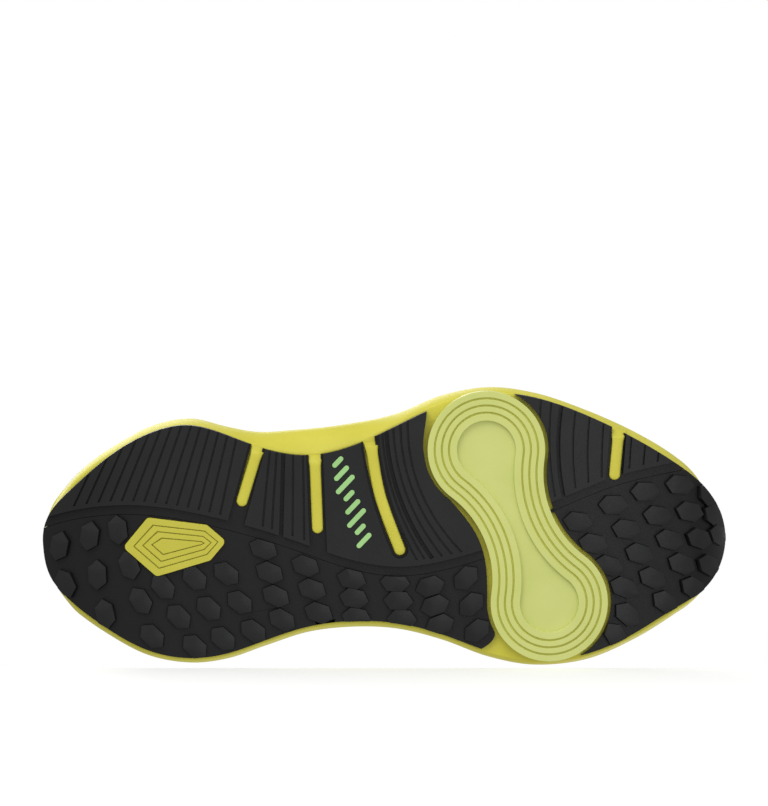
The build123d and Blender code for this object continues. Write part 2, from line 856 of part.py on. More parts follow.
def throat_edge(x, side):
    """Plan point on the throat's edge, which runs straight on behind the collar."""
    x_back, x_front = throat_back * shoe_length, throat_front * shoe_length
    t = (x - x_back) / (x_front - x_back)
    centre = ridge_centre(x_back) + (ridge_centre(x_front) - ridge_centre(x_back)) * t
    half = throat_half(x_back) + (throat_half(x_front) - throat_half(x_back)) * t
    return x, centre + side * half


def throat_region(grow=0.0, back=0.26):
    """Plan shape of the throat opening, rounded at the front, grown by an offset."""
    x_back, x_front = back * shoe_length, throat_front * shoe_length
    tip = x_front + (throat_half(x_front) + grow) * 0.8
    ends = {}
    with BuildSketch() as region:
        with BuildLine():
            for side in (1, -1):
                rear, front = Vector(*throat_edge(x_back, side)), Vector(*throat_edge(x_front, side))
                ends[side] = Line(rear + Vector(0, side * grow), front + Vector(0, side * grow))
            ThreePointArc(ends[1] @ 1, (tip, ridge_centre(x_front)), ends[-1] @ 1)
            Line(ends[1] @ 0, ends[-1] @ 0)
        make_face()
    return region.sketch


def eyelet_spot(row, side):
    """Plan place of an eyelet: row 0 is the front one, side -1 lateral, +1 medial."""
    first, last = eyelet_front * shoe_length, eyelet_back * shoe_length
    x = first + (last - first) * row / (eyelet_rows - 1)
    x_back, x_front = throat_back * shoe_length, throat_front * shoe_length
    t = (x - x_back) / (x_front - x_back)
    centre = ridge_centre(x_back) + (ridge_centre(x_front) - ridge_centre(x_back)) * t
    half = throat_half(x_back) + (throat_half(x_front) - throat_half(x_back)) * t
    return (x, centre + side * (half + eyelet_margin))


def surface_point(x, y, lift=0.0):
    """A point over a plan point, at a distance along the outer surface's normal."""
    step = 0.5
    z = form_height(x, y)
    lean_x = (form_height(x + step, y) - form_height(x - step, y)) / (2 * step)
    lean_y = (form_height(x, y + step) - form_height(x, y - step)) / (2 * step)
    normal = Vector(-lean_x, -lean_y, 1).normalized()
    return Vector(x, y, z) + normal * lift


def eyelet_holes(radius):
    """Round cuts square to the surface at all eyelets."""
    with BuildPart() as cuts:
        for row in range(eyelet_rows):
            for side in (-1, 1):
                spot = eyelet_spot(row, side)
                outside, inside = surface_point(*spot, 6), surface_point(*spot, -6)
                with BuildSketch(Plane(origin=inside, z_dir=outside - inside)):
                    Circle(radius)
                extrude(amount=12)
    return cuts.part


def build_upper():
    """The textile shell: quarters and vamp in one, open at the collar and the throat."""
    with BuildPart() as shell:
        add(skin(0, upper_thickness))
        add(bed_slab(0, 160), mode=Mode.INTERSECT)
        add(side_cut(collar_line()), mode=Mode.INTERSECT)
        add(column(throat_region(), hole_floor), mode=Mode.SUBTRACT)
        add(eyelet_holes(eyelet_radius), mode=Mode.SUBTRACT)
    shell.part.label = "upper"
    return shell.part


def overlay(name, keep, cut=None, low=None, high=160.0):
    """A welded layer on the outside of the upper, kept inside a block and cut by others."""
    low = rand_height + fit_gap if low is None else low
    with BuildPart() as layer:
        add(skin(-overlay_thickness, 0))
        add(bed_slab(low, high), mode=Mode.INTERSECT)
        if keep is not None:
            add(keep, mode=Mode.INTERSECT)
        for block in cut or []:
            add(block, mode=Mode.SUBTRACT)
    layer.part.label = name
    return layer.part


def inner_layer(name, outer, inner, keep, low=0.0, high=160.0, cut=None):
    """A layer inside the upper, between two insets of the foot form."""
    with BuildPart() as layer:
        add(skin(outer, inner))
        add(bed_slab(low, high), mode=Mode.INTERSECT)
        add(keep, mode=Mode.INTERSECT)
        for block in cut or []:
            add(block, mode=Mode.SUBTRACT)
    layer.part.label = name
    return layer.part


def half_space(x, ahead):
    """All of space ahead of or behind a plane across the shoe."""
    far = x + big if ahead else x - big
    with BuildPart() as block:
        with BuildSketch(Plane.XY.offset(-50)):
            with BuildLine():
                Polyline((x, -big), (far, -big), (far, big), (x, big), close=True)
            make_face()
        extrude(amount=300)
    return block.part


def eyestay_region(side):
    """Plan shape of one eyestay: a strip beside the throat, stopped short at the collar."""
    x_back, x_front = eyestay_back * shoe_length, throat_front * shoe_length + eyestay_width * 0.7
    with BuildSketch() as region:
        add(throat_region(eyestay_width, 0.2))
        add(throat_region(0.0, 0.1), mode=Mode.SUBTRACT)
        with BuildSketch(mode=Mode.INTERSECT):
            with BuildLine():
                wide = side * big / 4
                seam = ridge_centre(0.62 * shoe_length) + side * fit_gap
                Polyline((x_back, seam), (x_front, seam), (x_front, wide), (x_back, wide), close=True)
            make_face()
    return region.sketch


def build_eyestay(name, side):
    """The reinforced strip that carries one side's eyelets."""
    with BuildPart() as strip:
        add(column(eyestay_region(side), hole_floor))
        add(side_cut(collar_line(-collar_band)), mode=Mode.INTERSECT)
        add(eyelet_holes(eyelet_radius), mode=Mode.SUBTRACT)
    return overlay(name, strip.part)


def strap_region(side):
    """Plan-and-side shape of a quarter strap: two slanted bands seen from the side."""
    with BuildPart() as bands:
        with BuildSketch(Plane.XZ):
            for base, top in strap_lines:
                with BuildLine():
                    foot_x, foot_z = base[0] * shoe_length, base[1] * collar_height
                    top_x, top_z = top[0] * shoe_length, top[1] * collar_height
                    Polyline(
                        (foot_x - strap_foot / 2, foot_z), (foot_x + strap_foot / 2, foot_z),
                        (top_x + strap_top / 2, top_z), (top_x - strap_top / 2, top_z), close=True,
                    )
                make_face()
        extrude(amount=-side * big / 4)
    return bands.part


def build_strap(name, side):
    """Slanted support bands between the rand and the eyestay on one side."""
    grown = column(throat_region(eyestay_width + fit_gap, 0.05), hole_floor)
    return overlay(name, strap_region(side), [grown])


def block_between(x_low, x_high, y_low, y_high, corner, low=-10.0, high=180.0):
    """A vertical block over a rounded rectangle in plan."""
    with BuildPart() as block:
        with BuildSketch(Plane.XY.offset(low)):
            with Locations(((x_low + x_high) / 2, (y_low + y_high) / 2)):
                RectangleRounded(x_high - x_low, y_high - y_low, corner)
        extrude(amount=high - low)
    return block.part


def tongue_body(name, overlap, keep):
    """A padded layer under the throat, kept inside a block."""
    with BuildPart() as pad:
        add(skin(tongue_inset, tongue_inset + tongue_thickness))
        add(column(throat_region(overlap, 0.1), hole_floor - 6, 180), mode=Mode.INTERSECT)
        add(keep, mode=Mode.INTERSECT)
    pad.part.label = name
    return pad.part


def hinge_x():
    """Where the tongue's free end starts to turn, from the heel."""
    return tongue_hinge * shoe_length


def build_tongue():
    """The tongue's fixed part, under the laces."""
    return tongue_body("tongue", tongue_overlap, half_space(hinge_x(), True))


def build_tongue_flap():
    """The tongue's free end, which stands above the collar and folds forward."""
    back, front = tongue_top * shoe_length, hinge_x() - tongue_gap
    centre = ridge_centre(hinge_x())
    half = throat_half(throat_back * shoe_length) + flap_overlap
    ahead = front + 3 * flap_corner
    block = block_between(back, ahead, centre - half, centre + half, flap_corner, hole_floor)
    with BuildPart() as keep:
        add(block)
        add(half_space(front, False), mode=Mode.INTERSECT)
    return tongue_body("tongue_flap", flap_overlap, keep.part)


def tongue_hinge_height():
    """Height of the tongue's outer surface on the ridge at its hinge."""
    return form_height(hinge_x(), ridge_centre(hinge_x())) - tongue_inset


# ---------------------------------------------------------------- inside the shoe
def build_board():
    """The stitched-in board that closes the upper's bottom."""
    with BuildPart() as board:
        add(foot_form(upper_thickness + fit_gap, form_drop))
        add(bed_slab(0, board_thickness), mode=Mode.INTERSECT)
    board.part.label = "strobel_board"
    return board.part


def build_insole():
    """The loose foam insole on the board."""
    low = board_thickness
    with BuildPart() as insole:
        add(foot_form(upper_thickness + 2 * fit_gap, form_drop))
        add(bed_slab(low, low + insole_thickness), mode=Mode.INTERSECT)
    insole.part.label = "insole"
    return insole.part


def inner_floor():
    """Height above the foot bed at which the layers inside the upper start."""
    return board_thickness + insole_thickness + fit_gap


def build_counter():
    """The stiff heel counter between the shell and the lining."""
    outer = upper_thickness + fit_gap
    keep = half_space(counter_reach * shoe_length, False)
    return inner_layer("heel_counter", outer, outer + counter_thickness, keep, inner_floor(), counter_height)


def build_puff():
    """The stiff toe puff inside the toe."""
    outer = upper_thickness + fit_gap
    keep = half_space(puff_start * shoe_length, True)
    return inner_layer("toe_puff", outer, outer + puff_thickness, keep, inner_floor())


def tongue_clearance():
    """The space under the throat that the collar's padding stays out of."""
    return column(throat_region(tongue_overlap + 1.0, 0.2), hole_floor - 6, 180)


def collar_keep(drop):
    """The space below the collar's edge and behind the tongue."""
    with BuildPart() as keep:
        add(half_space(padding_front * shoe_length, False))
        add(side_cut(collar_line(-drop)), mode=Mode.INTERSECT)
    return keep.part


def build_collar_foam():
    """The padding round the collar, above the heel counter."""
    outer = upper_thickness + fit_gap
    low = counter_height + fit_gap
    cut = [tongue_clearance()]
    return inner_layer("collar_foam", outer, outer + foam_thickness, collar_keep(0.6), low, 160, cut)


def build_collar_lining():
    """The textile that covers the padding and the counter inside."""
    outer = upper_thickness + foam_thickness + 2 * fit_gap
    cut = [tongue_clearance()]
    keep = collar_keep(0.3)
    return inner_layer("collar_lining", outer, outer + lining_thickness, keep, inner_floor(), 160, cut)


# ---------------------------------------------------------------- pull tab
def tab_pivot():
    """The line that the pull tab turns on, seen from the side."""
    top = collar_points[1][1] * collar_height
    x = upper_stations[0][0] / 100 * shoe_length + tab_set_in
    return x, top + fit_gap + 2 * tab_thickness + fit_gap


def build_pull_tab():
    """The webbing loop at the heel: a flat base that opens into a finger loop."""
    x, z = tab_pivot()
    centre = heel_centre()
    ring = tab_gap / 2
    outer = ring + tab_thickness
    top = z + tab_height - outer
    with BuildPart() as tab:
        with BuildSketch(Plane.XZ.offset(-centre - tab_width / 2)):
            with BuildLine():
                tip = ThreePointArc((x - outer, top), (x, top + outer), (x + outer, top))
                Line(tip @ 1, (x + tab_thickness, z))
                ThreePointArc((x + tab_thickness, z), (x, z - tab_thickness), (x - tab_thickness, z))
                Line((x - tab_thickness, z), tip @ 0)
            make_face()
            with BuildLine():
                loop = ThreePointArc((x - ring, top), (x, top + ring), (x + ring, top))
                Line(loop @ 1, (x, z + tab_base))
                Line((x, z + tab_base), loop @ 0)
            make_face(mode=Mode.SUBTRACT)
        extrude(amount=tab_width)
    tab.part.label = "heel_pull_tab"
    return tab.part


def build_tab_anchor():
    """The webbing that straddles the collar's back edge and holds the pull tab."""
    x_out = upper_stations[0][0] / 100 * shoe_length
    x_in = x_out + upper_thickness + foam_thickness + lining_thickness + 4 * fit_gap
    top = collar_points[1][1] * collar_height + fit_gap
    centre = heel_centre()
    with BuildPart() as anchor:
        with BuildSketch(Plane.XZ.offset(-centre - tab_width / 2)):
            with BuildLine():
                Polyline(
                    (x_out, top - anchor_outside), (x_out - tab_thickness, top - anchor_outside),
                    (x_out - tab_thickness, top + tab_thickness),
                    (x_in + tab_thickness, top + tab_thickness),
                    (x_in + tab_thickness, top - anchor_inside), (x_in, top - anchor_inside),
                    (x_in, top), (x_out, top), close=True,
                )
            make_face()
        extrude(amount=tab_width)
    anchor.part.label = "pull_tab_anchor"
    return anchor.part


# ---------------------------------------------------------------- lace
def lace_span(row, side):
    """Centre line of one crossing: up out of an eyelet, over the tongue, under the far eyestay."""
    above = overlay_thickness + lace_diameter / 2 + fit_gap
    below = -upper_thickness - lace_diameter / 2 - fit_gap
    start, end = eyelet_spot(row, side), eyelet_spot(row + 1, -side)
    near = throat_edge(start[0] + (end[0] - start[0]) * 0.25, side)
    far = throat_edge(start[0] + (end[0] - start[0]) * 0.75, -side)
    middle_x = (start[0] + end[0]) / 2
    middle = (middle_x, (throat_edge(middle_x, 1)[1] + throat_edge(middle_x, -1)[1]) / 2)
    rest = -tongue_inset + lace_diameter / 2 + fit_gap
    if side > 0:
        rest += lace_diameter + fit_gap
    return [
        surface_point(*start, -lace_join), surface_point(*start, above), surface_point(*near, above),
        surface_point(*middle, rest), surface_point(*far, below), surface_point(*end, below),
        surface_point(*end, -lace_join),
    ]


def lace_bar():
    """Centre line of the straight front stretch, out of one front eyelet and into the other."""
    ends = [eyelet_spot(0, side) for side in (-1, 1)]
    edges = [throat_edge(ends[0][0], side) for side in (-1, 1)]
    below = -upper_thickness - lace_diameter / 2 - fit_gap
    middle = (ends[0][0], (ends[0][1] + ends[1][1]) / 2)
    return [
        surface_point(*ends[0], -lace_join), surface_point(*ends[0], below), surface_point(*edges[0], below),
        surface_point(*middle, -tongue_inset + lace_diameter / 2 + fit_gap),
        surface_point(*edges[1], below), surface_point(*ends[1], below), surface_point(*ends[1], -lace_join),
    ]


def tube(points):
    """A round cord along a route with rounded corners."""
    with BuildPart() as cord:
        with BuildLine() as path:
            FilletPolyline(*points, radius=lace_bend)
        with BuildSketch(Plane(origin=path.line @ 0, z_dir=path.line % 0)):
            Circle(lace_diameter / 2)
        sweep(path=path.line)
    return cord.part


def build_lace():
    """The lace: a front stretch and pairs of crossings, held by eyelets all the way."""
    with BuildPart() as lace:
        add(tube(lace_bar()))
        for row in range(eyelet_rows - 1):
            for side in (-1, 1):
                add(tube(lace_span(row, side)))
    lace.part.label = "lace"
    return lace.part


# ---------------------------------------------------------------- assembly
def build_all():
    """Every piece of the shoe in the design frame."""
    behind, ahead = behind_front_edge(), ahead_of_pod()
    return [
        build_midsole(),
        build_outsole("outsole_lateral", -1, seam_rear, behind, []),
        build_outsole("outsole_medial", 1, seam_rear, behind, rear_lugs),
        build_outsole("outsole_toe_lateral", -1, seam_toe, ahead, []),
        build_outsole("outsole_toe", 1, seam_toe, ahead, toe_lugs),
        build_pod(),
        build_insert(),
        build_arch_mark(),
        build_board(),
        build_insole(),
        build_upper(),
        overlay("rand", None, None, 0.0, rand_height),
        overlay("toe_cap", half_space(toe_cap_start * shoe_length, True)),
        overlay("heel_clip", half_space(heel_clip_reach * shoe_length, False), None, None, heel_clip_height),
        build_eyestay("eyestay_lateral", -1),
        build_eyestay("eyestay_medial", 1),
        build_strap("quarter_strap_lateral", -1),
        build_strap("quarter_strap_medial", 1),
        build_counter(),
        build_puff(),
        build_collar_foam(),
        build_collar_lining(),
        build_tongue(),
        build_tongue_flap(),
        build_lace(),
        build_tab_anchor(),
        build_pull_tab(),
    ]


pieces = build_all()
whole = Compound(children=[copy.copy(piece) for piece in pieces]).bounding_box()
middle = whole.center()
to_base = Location((-middle.X, -middle.Y, -whole.min.Z))
os.makedirs("parts", exist_ok=True)
for piece in pieces:
    placed = piece.moved(to_base)
    placed.label = piece.label
    export_step(placed, f"parts/{piece.label}.step")
print("origin from the heel and centre line:", round(middle.X, 3), round(middle.Y, 3), round(whole.min.Z, 3))
print("size:", [round(v, 2) for v in whole.size])
hinge_place = (hinge_x() - middle.X, ridge_centre(hinge_x()) - middle.Y, tongue_hinge_height() - whole.min.Z)
pivot_x, pivot_z = tab_pivot()
pivot_place = (pivot_x - middle.X, heel_centre() - middle.Y, pivot_z - whole.min.Z)
print("tongue hinge:", [round(v, 3) for v in hinge_place])
print("tab pivot:", [round(v, 3) for v in pivot_place])
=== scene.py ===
import json
import math
import random

import bmesh
import bpy
import numpy as np
from mathutils import Matrix, Vector


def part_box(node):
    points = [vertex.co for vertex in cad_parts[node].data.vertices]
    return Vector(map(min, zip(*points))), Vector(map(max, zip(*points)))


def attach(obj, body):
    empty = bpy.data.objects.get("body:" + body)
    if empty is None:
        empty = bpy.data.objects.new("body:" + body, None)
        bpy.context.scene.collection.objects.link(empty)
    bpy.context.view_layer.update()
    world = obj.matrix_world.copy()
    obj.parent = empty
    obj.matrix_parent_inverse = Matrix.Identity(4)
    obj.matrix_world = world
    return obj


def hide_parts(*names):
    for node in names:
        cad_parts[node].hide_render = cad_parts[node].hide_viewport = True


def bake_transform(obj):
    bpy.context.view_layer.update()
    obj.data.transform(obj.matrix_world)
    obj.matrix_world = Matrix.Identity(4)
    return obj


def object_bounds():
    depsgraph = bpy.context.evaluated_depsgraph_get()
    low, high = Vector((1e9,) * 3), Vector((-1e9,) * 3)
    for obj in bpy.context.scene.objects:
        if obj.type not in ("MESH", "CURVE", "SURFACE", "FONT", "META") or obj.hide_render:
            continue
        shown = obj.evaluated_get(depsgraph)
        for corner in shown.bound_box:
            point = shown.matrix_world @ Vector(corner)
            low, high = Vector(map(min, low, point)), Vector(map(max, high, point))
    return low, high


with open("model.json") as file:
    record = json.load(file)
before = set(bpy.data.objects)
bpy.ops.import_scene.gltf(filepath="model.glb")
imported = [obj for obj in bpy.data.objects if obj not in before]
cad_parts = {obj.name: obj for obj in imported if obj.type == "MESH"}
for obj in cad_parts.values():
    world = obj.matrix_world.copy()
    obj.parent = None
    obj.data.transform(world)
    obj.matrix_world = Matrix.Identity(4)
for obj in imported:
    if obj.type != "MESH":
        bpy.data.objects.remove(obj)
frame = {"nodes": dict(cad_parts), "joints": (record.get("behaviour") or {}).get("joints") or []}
cadLow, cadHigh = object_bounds()
nodes = frame["nodes"]
print("frame loaded:", len(nodes), "nodes")

# The shoe's plan frame: x from the heel, y from the centre line, z from the ground, in millimetres.
place = {
    "heelX": cadLow.x + 0.00112,   # where x = 0 lies in the shared frame, in metres
    "midY": cadLow.y + 0.06939,    # where y = 0 lies
    "length": 300.0,
    "width": 120.0,
}


def toFrame(points):
    # millimetres in the shoe's plan frame to metres in the shared frame
    points = np.asarray(points, float)
    return points / 1000 + np.array([place["heelX"], place["midY"], 0.0])


def fromPercent(points):
    # percent of the length and of the width to millimetres in the plan
    return np.asarray(points, float) * (place["length"] / 100, place["width"] / 100)


# Curves and heights of the sole

ground = {
    "heelRoll": 52.0, "heelRadius": 140.0, "toeRoll": 90.0, "toeRadius": 240.0,
    "toeTip": 18.0, "tipRadius": 30.0,
}
stack = {"heel": 30.0, "forefoot": 23.0, "slopeStart": 60.0, "slopeEnd": 198.0}


def groundHeight(x):
    x1 = place["length"] - ground["toeRoll"]
    x2 = place["length"] - ground["toeTip"]
    z2 = ground["toeRadius"] - math.sqrt(ground["toeRadius"] ** 2 - (x2 - x1) ** 2)
    lean = math.asin((x2 - x1) / ground["toeRadius"])
    if x < ground["heelRoll"]:
        return ground["heelRadius"] - math.sqrt(ground["heelRadius"] ** 2 - (ground["heelRoll"] - x) ** 2)
    if x <= x1:
        return 0.0
    if x <= x2:
        return ground["toeRadius"] - math.sqrt(ground["toeRadius"] ** 2 - (x - x1) ** 2)
    reach = min(x - x2 + ground["tipRadius"] * math.sin(lean), ground["tipRadius"] * 0.985)
    return z2 + ground["tipRadius"] * math.cos(lean) - math.sqrt(ground["tipRadius"] ** 2 - reach**2)


def bedHeight(x):
    t = smooth(x, stack["slopeStart"], stack["slopeEnd"])
    rise = 0.0
    x1 = place["length"] - ground["toeRoll"]
    if x > x1:
        rise = ground["toeRadius"] - math.sqrt(ground["toeRadius"] ** 2 - (x - x1) ** 2)
    return stack["heel"] + (stack["forefoot"] - stack["heel"]) * t + rise


def smooth(value, low, high):
    t = min(max((value - low) / (high - low), 0.0), 1.0)
    return t * t * (3 - 2 * t)


def splineThrough(points, perSpan, closed=False):
    # a Catmull-Rom curve through the points
    points = np.asarray(points, float)
    count = len(points)
    spans = count if closed else count - 1
    found = []
    for i in range(spans):
        if closed:
            a, b, c, d = (points[(i + k) % count] for k in (-1, 0, 1, 2))
        else:
            a, b, c, d = (points[min(max(i + k, 0), count - 1)] for k in (-1, 0, 1, 2))
        for step in range(perSpan):
            t = step / perSpan
            bend = (2 * a - 5 * b + 4 * c - d) * t**2
            twist = (3 * b - a - 3 * c + d) * t**3
            found.append(0.5 * (2 * b + (c - a) * t + bend + twist))
    if not closed:
        found.append(points[-1])
    return np.array(found)


# Mesh helpers

def linkMesh(name, points, faces, smoothFaces=True):
    mesh = bpy.data.meshes.new(name)
    mesh.from_pydata([tuple(p) for p in points], [], [tuple(f) for f in faces])
    mesh.update()
    piece = bpy.data.objects.new(name, mesh)
    bpy.context.scene.collection.objects.link(piece)
    if smoothFaces:
        mesh.polygons.foreach_set("use_smooth", [True] * len(mesh.polygons))
    return piece


def gridMesh(name, rows, closeRows=False, closeColumns=False, uv=None):
    # rows is an array (rows, columns, 3) in metres; uv is an optional array (rows, columns, 2)
    rows = np.asarray(rows, float)
    n, m = rows.shape[:2]
    faces = []
    for i in range(n if closeRows else n - 1):
        for j in range(m if closeColumns else m - 1):
            i2, j2 = (i + 1) % n, (j + 1) % m
            faces.append((i * m + j, i * m + j2, i2 * m + j2, i2 * m + j))
    piece = linkMesh(name, rows.reshape(-1, 3), faces)
    if uv is not None:
        layer = piece.data.uv_layers.new(name="cloth")
        flat = np.asarray(uv, float).reshape(-1, 2)
        for loop in piece.data.loops:
            layer.data[loop.index].uv = flat[loop.vertex_index]
    return piece


def cleanMesh(piece, distance=0.00002, angle=35.0):
    # merges doubles, turns faces outwards, smooths below an angle
    shape = bmesh.new()
    shape.from_mesh(piece.data)
    bmesh.ops.remove_doubles(shape, verts=shape.verts, dist=distance)
    bmesh.ops.dissolve_degenerate(shape, edges=shape.edges, dist=distance)
    bmesh.ops.recalc_face_normals(shape, faces=shape.faces)
    for face in shape.faces:
        face.smooth = True
    for edge in shape.edges:
        edge.smooth = edge.calc_face_angle(0.0) < math.radians(angle)
    shape.to_mesh(piece.data)
    shape.free()
    return piece


def mergedCopy(name, node, angle=30.0):
    # a copy of a CAD node's mesh with shared vertices and smooth shading on its round faces
    piece = bpy.data.objects.new(name, nodes[node].data.copy())
    bpy.context.scene.collection.objects.link(piece)
    piece.data.materials.clear()
    shape = bmesh.new()
    shape.from_mesh(piece.data)
    bmesh.ops.remove_doubles(shape, verts=shape.verts, dist=0.00001)
    bmesh.ops.dissolve_limit(shape, angle_limit=math.radians(0.5), verts=shape.verts, edges=shape.edges)
    for face in shape.faces:
        face.smooth = True
    for edge in shape.edges:
        edge.smooth = edge.calc_face_angle(0.0) < math.radians(angle)
    shape.to_mesh(piece.data)
    shape.free()
    return piece


def bevelEdges(piece, width, segments=2, angle=30.0):
    rounding = piece.modifiers.new("rounding", "BEVEL")
    rounding.width = width
    rounding.segments = segments
    rounding.limit_method = "ANGLE"
    rounding.angle_limit = math.radians(angle)
    rounding.harden_normals = True
    rounding.use_clamp_overlap = True
    return piece


def addFaces(piece, loops, turn=True):
    # adds faces over a piece's own corners, each given by its corner numbers
    shape = bmesh.new()
    shape.from_mesh(piece.data)
    shape.verts.ensure_lookup_table()
    for loop in loops:
        shape.faces.new([shape.verts[k] for k in loop])
    if turn:
        bmesh.ops.recalc_face_normals(shape, faces=shape.faces)
    shape.to_mesh(piece.data)
    shape.free()
    return piece


def joinInto(piece, other):
    # adds another object's mesh to a piece and removes the other
    shape = bmesh.new()
    shape.from_mesh(piece.data)
    shape.from_mesh(other.data)
    shape.to_mesh(piece.data)
    shape.free()
    bpy.data.objects.remove(other)
    return piece


def pathLength(points):
    # distance run along a line of points, up to each of them
    return np.concatenate([[0], np.cumsum(np.linalg.norm(np.diff(points, axis=0), axis=1))])


def unitAlong(line):
    # unit direction of a line at each of its points
    along = np.gradient(line, axis=0)
    return along / np.linalg.norm(along, axis=1)[:, None]


def thicken(piece, thickness, offset=-1.0):
    wall = piece.modifiers.new("wall", "SOLIDIFY")
    wall.thickness = thickness
    wall.offset = offset
    wall.use_even_offset = True
    return piece


def applyModifiers(piece):
    # turns the evaluated shape into the piece's plain mesh
    graph = bpy.context.evaluated_depsgraph_get()
    done = bpy.data.meshes.new_from_object(piece.evaluated_get(graph), depsgraph=graph)
    piece.modifiers.clear()
    piece.data = done
    return piece


def finishPiece(piece, body, slot, material, replaces=()):
    piece.data.materials.clear()
    piece.data.materials.append(material)
    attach(piece, body)
    if replaces:
        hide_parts(*replaces)
    return piece


# Materials

def startMaterial(name):
    material = bpy.data.materials.new(name)
    material.use_nodes = True
    tree = material.node_tree
    tree.nodes.clear()
    output = tree.nodes.new("ShaderNodeOutputMaterial")
    shader = tree.nodes.new("ShaderNodeBsdfPrincipled")
    tree.links.new(shader.outputs["BSDF"], output.inputs["Surface"])
    return material, tree, shader


def addNoise(tree, coordinate, scale, detail=3.0, roughness=0.5):
    noise = tree.nodes.new("ShaderNodeTexNoise")
    noise.inputs["Scale"].default_value = scale
    noise.inputs["Detail"].default_value = detail
    noise.inputs["Roughness"].default_value = roughness
    tree.links.new(coordinate, noise.inputs["Vector"])
    return noise.outputs["Fac"]


def addRange(tree, value, low, high, toLow, toHigh):
    spread = tree.nodes.new("ShaderNodeMapRange")
    spread.inputs["From Min"].default_value = low
    spread.inputs["From Max"].default_value = high
    spread.inputs["To Min"].default_value = toLow
    spread.inputs["To Max"].default_value = toHigh
    tree.links.new(value, spread.inputs["Value"])
    return spread.outputs["Result"]


def addMath(tree, operation, first, second):
    step = tree.nodes.new("ShaderNodeMath")
    step.operation = operation
    for socket, value in zip(step.inputs, (first, second)):
        if isinstance(value, (int, float)):
            socket.default_value = value
        else:
            tree.links.new(value, socket)
    return step.outputs["Value"]


def mixColours(tree, share, first, second):
    mix = tree.nodes.new("ShaderNodeMix")
    mix.data_type = "RGBA"
    tree.links.new(share, mix.inputs["Factor"])
    for socket, value in ((mix.inputs["A"], first), (mix.inputs["B"], second)):
        if isinstance(value, tuple):
            socket.default_value = (*value, 1.0)
        else:
            tree.links.new(value, socket)
    return mix.outputs["Result"]


def addBump(tree, shader, height, distance, strength=1.0, before=None):
    bump = tree.nodes.new("ShaderNodeBump")
    bump.inputs["Strength"].default_value = strength
    bump.inputs["Distance"].default_value = distance
    tree.links.new(height, bump.inputs["Height"])
    if before is not None:
        tree.links.new(before, bump.inputs["Normal"])
    tree.links.new(bump.outputs["Normal"], shader.inputs["Normal"])
    return bump.outputs["Normal"]


def storeDepth(piece):
    # how far each corner of a piece lies above the ground line, kept on its mesh in millimetres
    layer = piece.data.attributes.new("depth", "FLOAT", "POINT")
    for vertex in piece.data.vertices:
        x = (vertex.co.x - place["heelX"]) * 1000
        layer.data[vertex.index].value = vertex.co.z * 1000 - groundHeight(x)
    return piece


def paintedShadeByDepth(tree, colour, look):
    # painted shade: a darker second colour down in the grooves, chosen by each corner's depth
    store = tree.nodes.new("ShaderNodeAttribute")
    store.attribute_name = "depth"
    start, full, fade, end = look["grooveDepth"]
    share = addRange(tree, store.outputs["Fac"], start, full, 0.0, 1.0)
    share = addMath(tree, "MULTIPLY", share, addRange(tree, store.outputs["Fac"], fade, end, 1.0, 0.0))
    return mixColours(tree, share, colour, look["groove"])


def mouldedMaterial(name, look):
    # moulded rubber, foam or plastic: soft mottling, fine grain, uneven gloss and, where the look gives it,
    # painted shade down in the grooves
    material, tree, shader = startMaterial(name)
    coordinate = tree.nodes.new("ShaderNodeTexCoord").outputs["Object"]
    mottle = addNoise(tree, coordinate, look["mottleScale"], 4.0, 0.6)
    share = addRange(tree, mottle, 0.3, 0.7, 0.0, 1.0)
    colour = mixColours(tree, share, look["dark"], look["light"])
    # painted shade: the grooves get a darker colour by depth
    if "groove" in look:
        colour = paintedShadeByDepth(tree, colour, look)
    grain = addNoise(tree, coordinate, look["grainScale"], 2.0, 0.5)
    tree.links.new(colour, shader.inputs["Base Color"])
    gloss = addRange(tree, grain, 0.3, 0.7, *look["gloss"])
    tree.links.new(gloss, shader.inputs["Roughness"])
    addBump(tree, shader, grain, look["grainDepth"])
    shader.inputs["Specular IOR Level"].default_value = look.get("specular", 0.5)
    shader.inputs["Subsurface Weight"].default_value = look.get("glow", 0.0)
    shader.inputs["Subsurface Radius"].default_value = look.get("glowRadius", (0.002, 0.002, 0.001))
    shader.inputs["Subsurface Scale"].default_value = look.get("glowScale", 1.0)
    shader.inputs["Coat Weight"].default_value = look.get("coat", 0.0)
    shader.inputs["Coat Roughness"].default_value = look.get("coatRoughness", 0.3)
    return material


rubberLook = {
    "dark": (0.0062, 0.0065, 0.0068), "light": (0.0100, 0.0103, 0.0104), "mottleScale": 60.0,
    "grainScale": 1500.0, "grainDepth": 0.00005, "gloss": (0.36, 0.52), "specular": 0.32,
    # painted shade down in the grooves between the lugs, and the depths where it fades in and out
    "groove": (0.0028, 0.0029, 0.0030), "grooveDepth": (1.6, 3.0, 90.0, 99.0),
}
foamLook = {
    "dark": (0.660, 0.605, 0.058), "light": (0.710, 0.655, 0.075), "mottleScale": 45.0,
    "grainScale": 1300.0, "grainDepth": 0.00009, "gloss": (0.46, 0.62), "specular": 0.35, "glow": 0.12,
}
podLook = {
    "dark": (0.610, 0.660, 0.180), "light": (0.670, 0.710, 0.220), "mottleScale": 30.0,
    "grainScale": 1900.0, "grainDepth": 0.00003, "gloss": (0.32, 0.44), "specular": 0.45, "glow": 0.1,
    # painted shade in the pod's ring grooves, and the depths where it fades in and out
    "groove": (0.600, 0.600, 0.080), "grooveDepth": (0.35, 0.75, 1.0, 1.5),
}
insertLook = {
    "dark": (0.570, 0.530, 0.052), "light": (0.620, 0.570, 0.062), "mottleScale": 40.0,
    "grainScale": 1600.0, "grainDepth": 0.00004, "gloss": (0.38, 0.5), "specular": 0.4, "glow": 0.1,
    # painted shade in the insert's ring grooves, and the depths where it fades in and out
    "groove": (0.400, 0.370, 0.025), "grooveDepth": (1.55, 1.9, 3.0, 4.0),
}
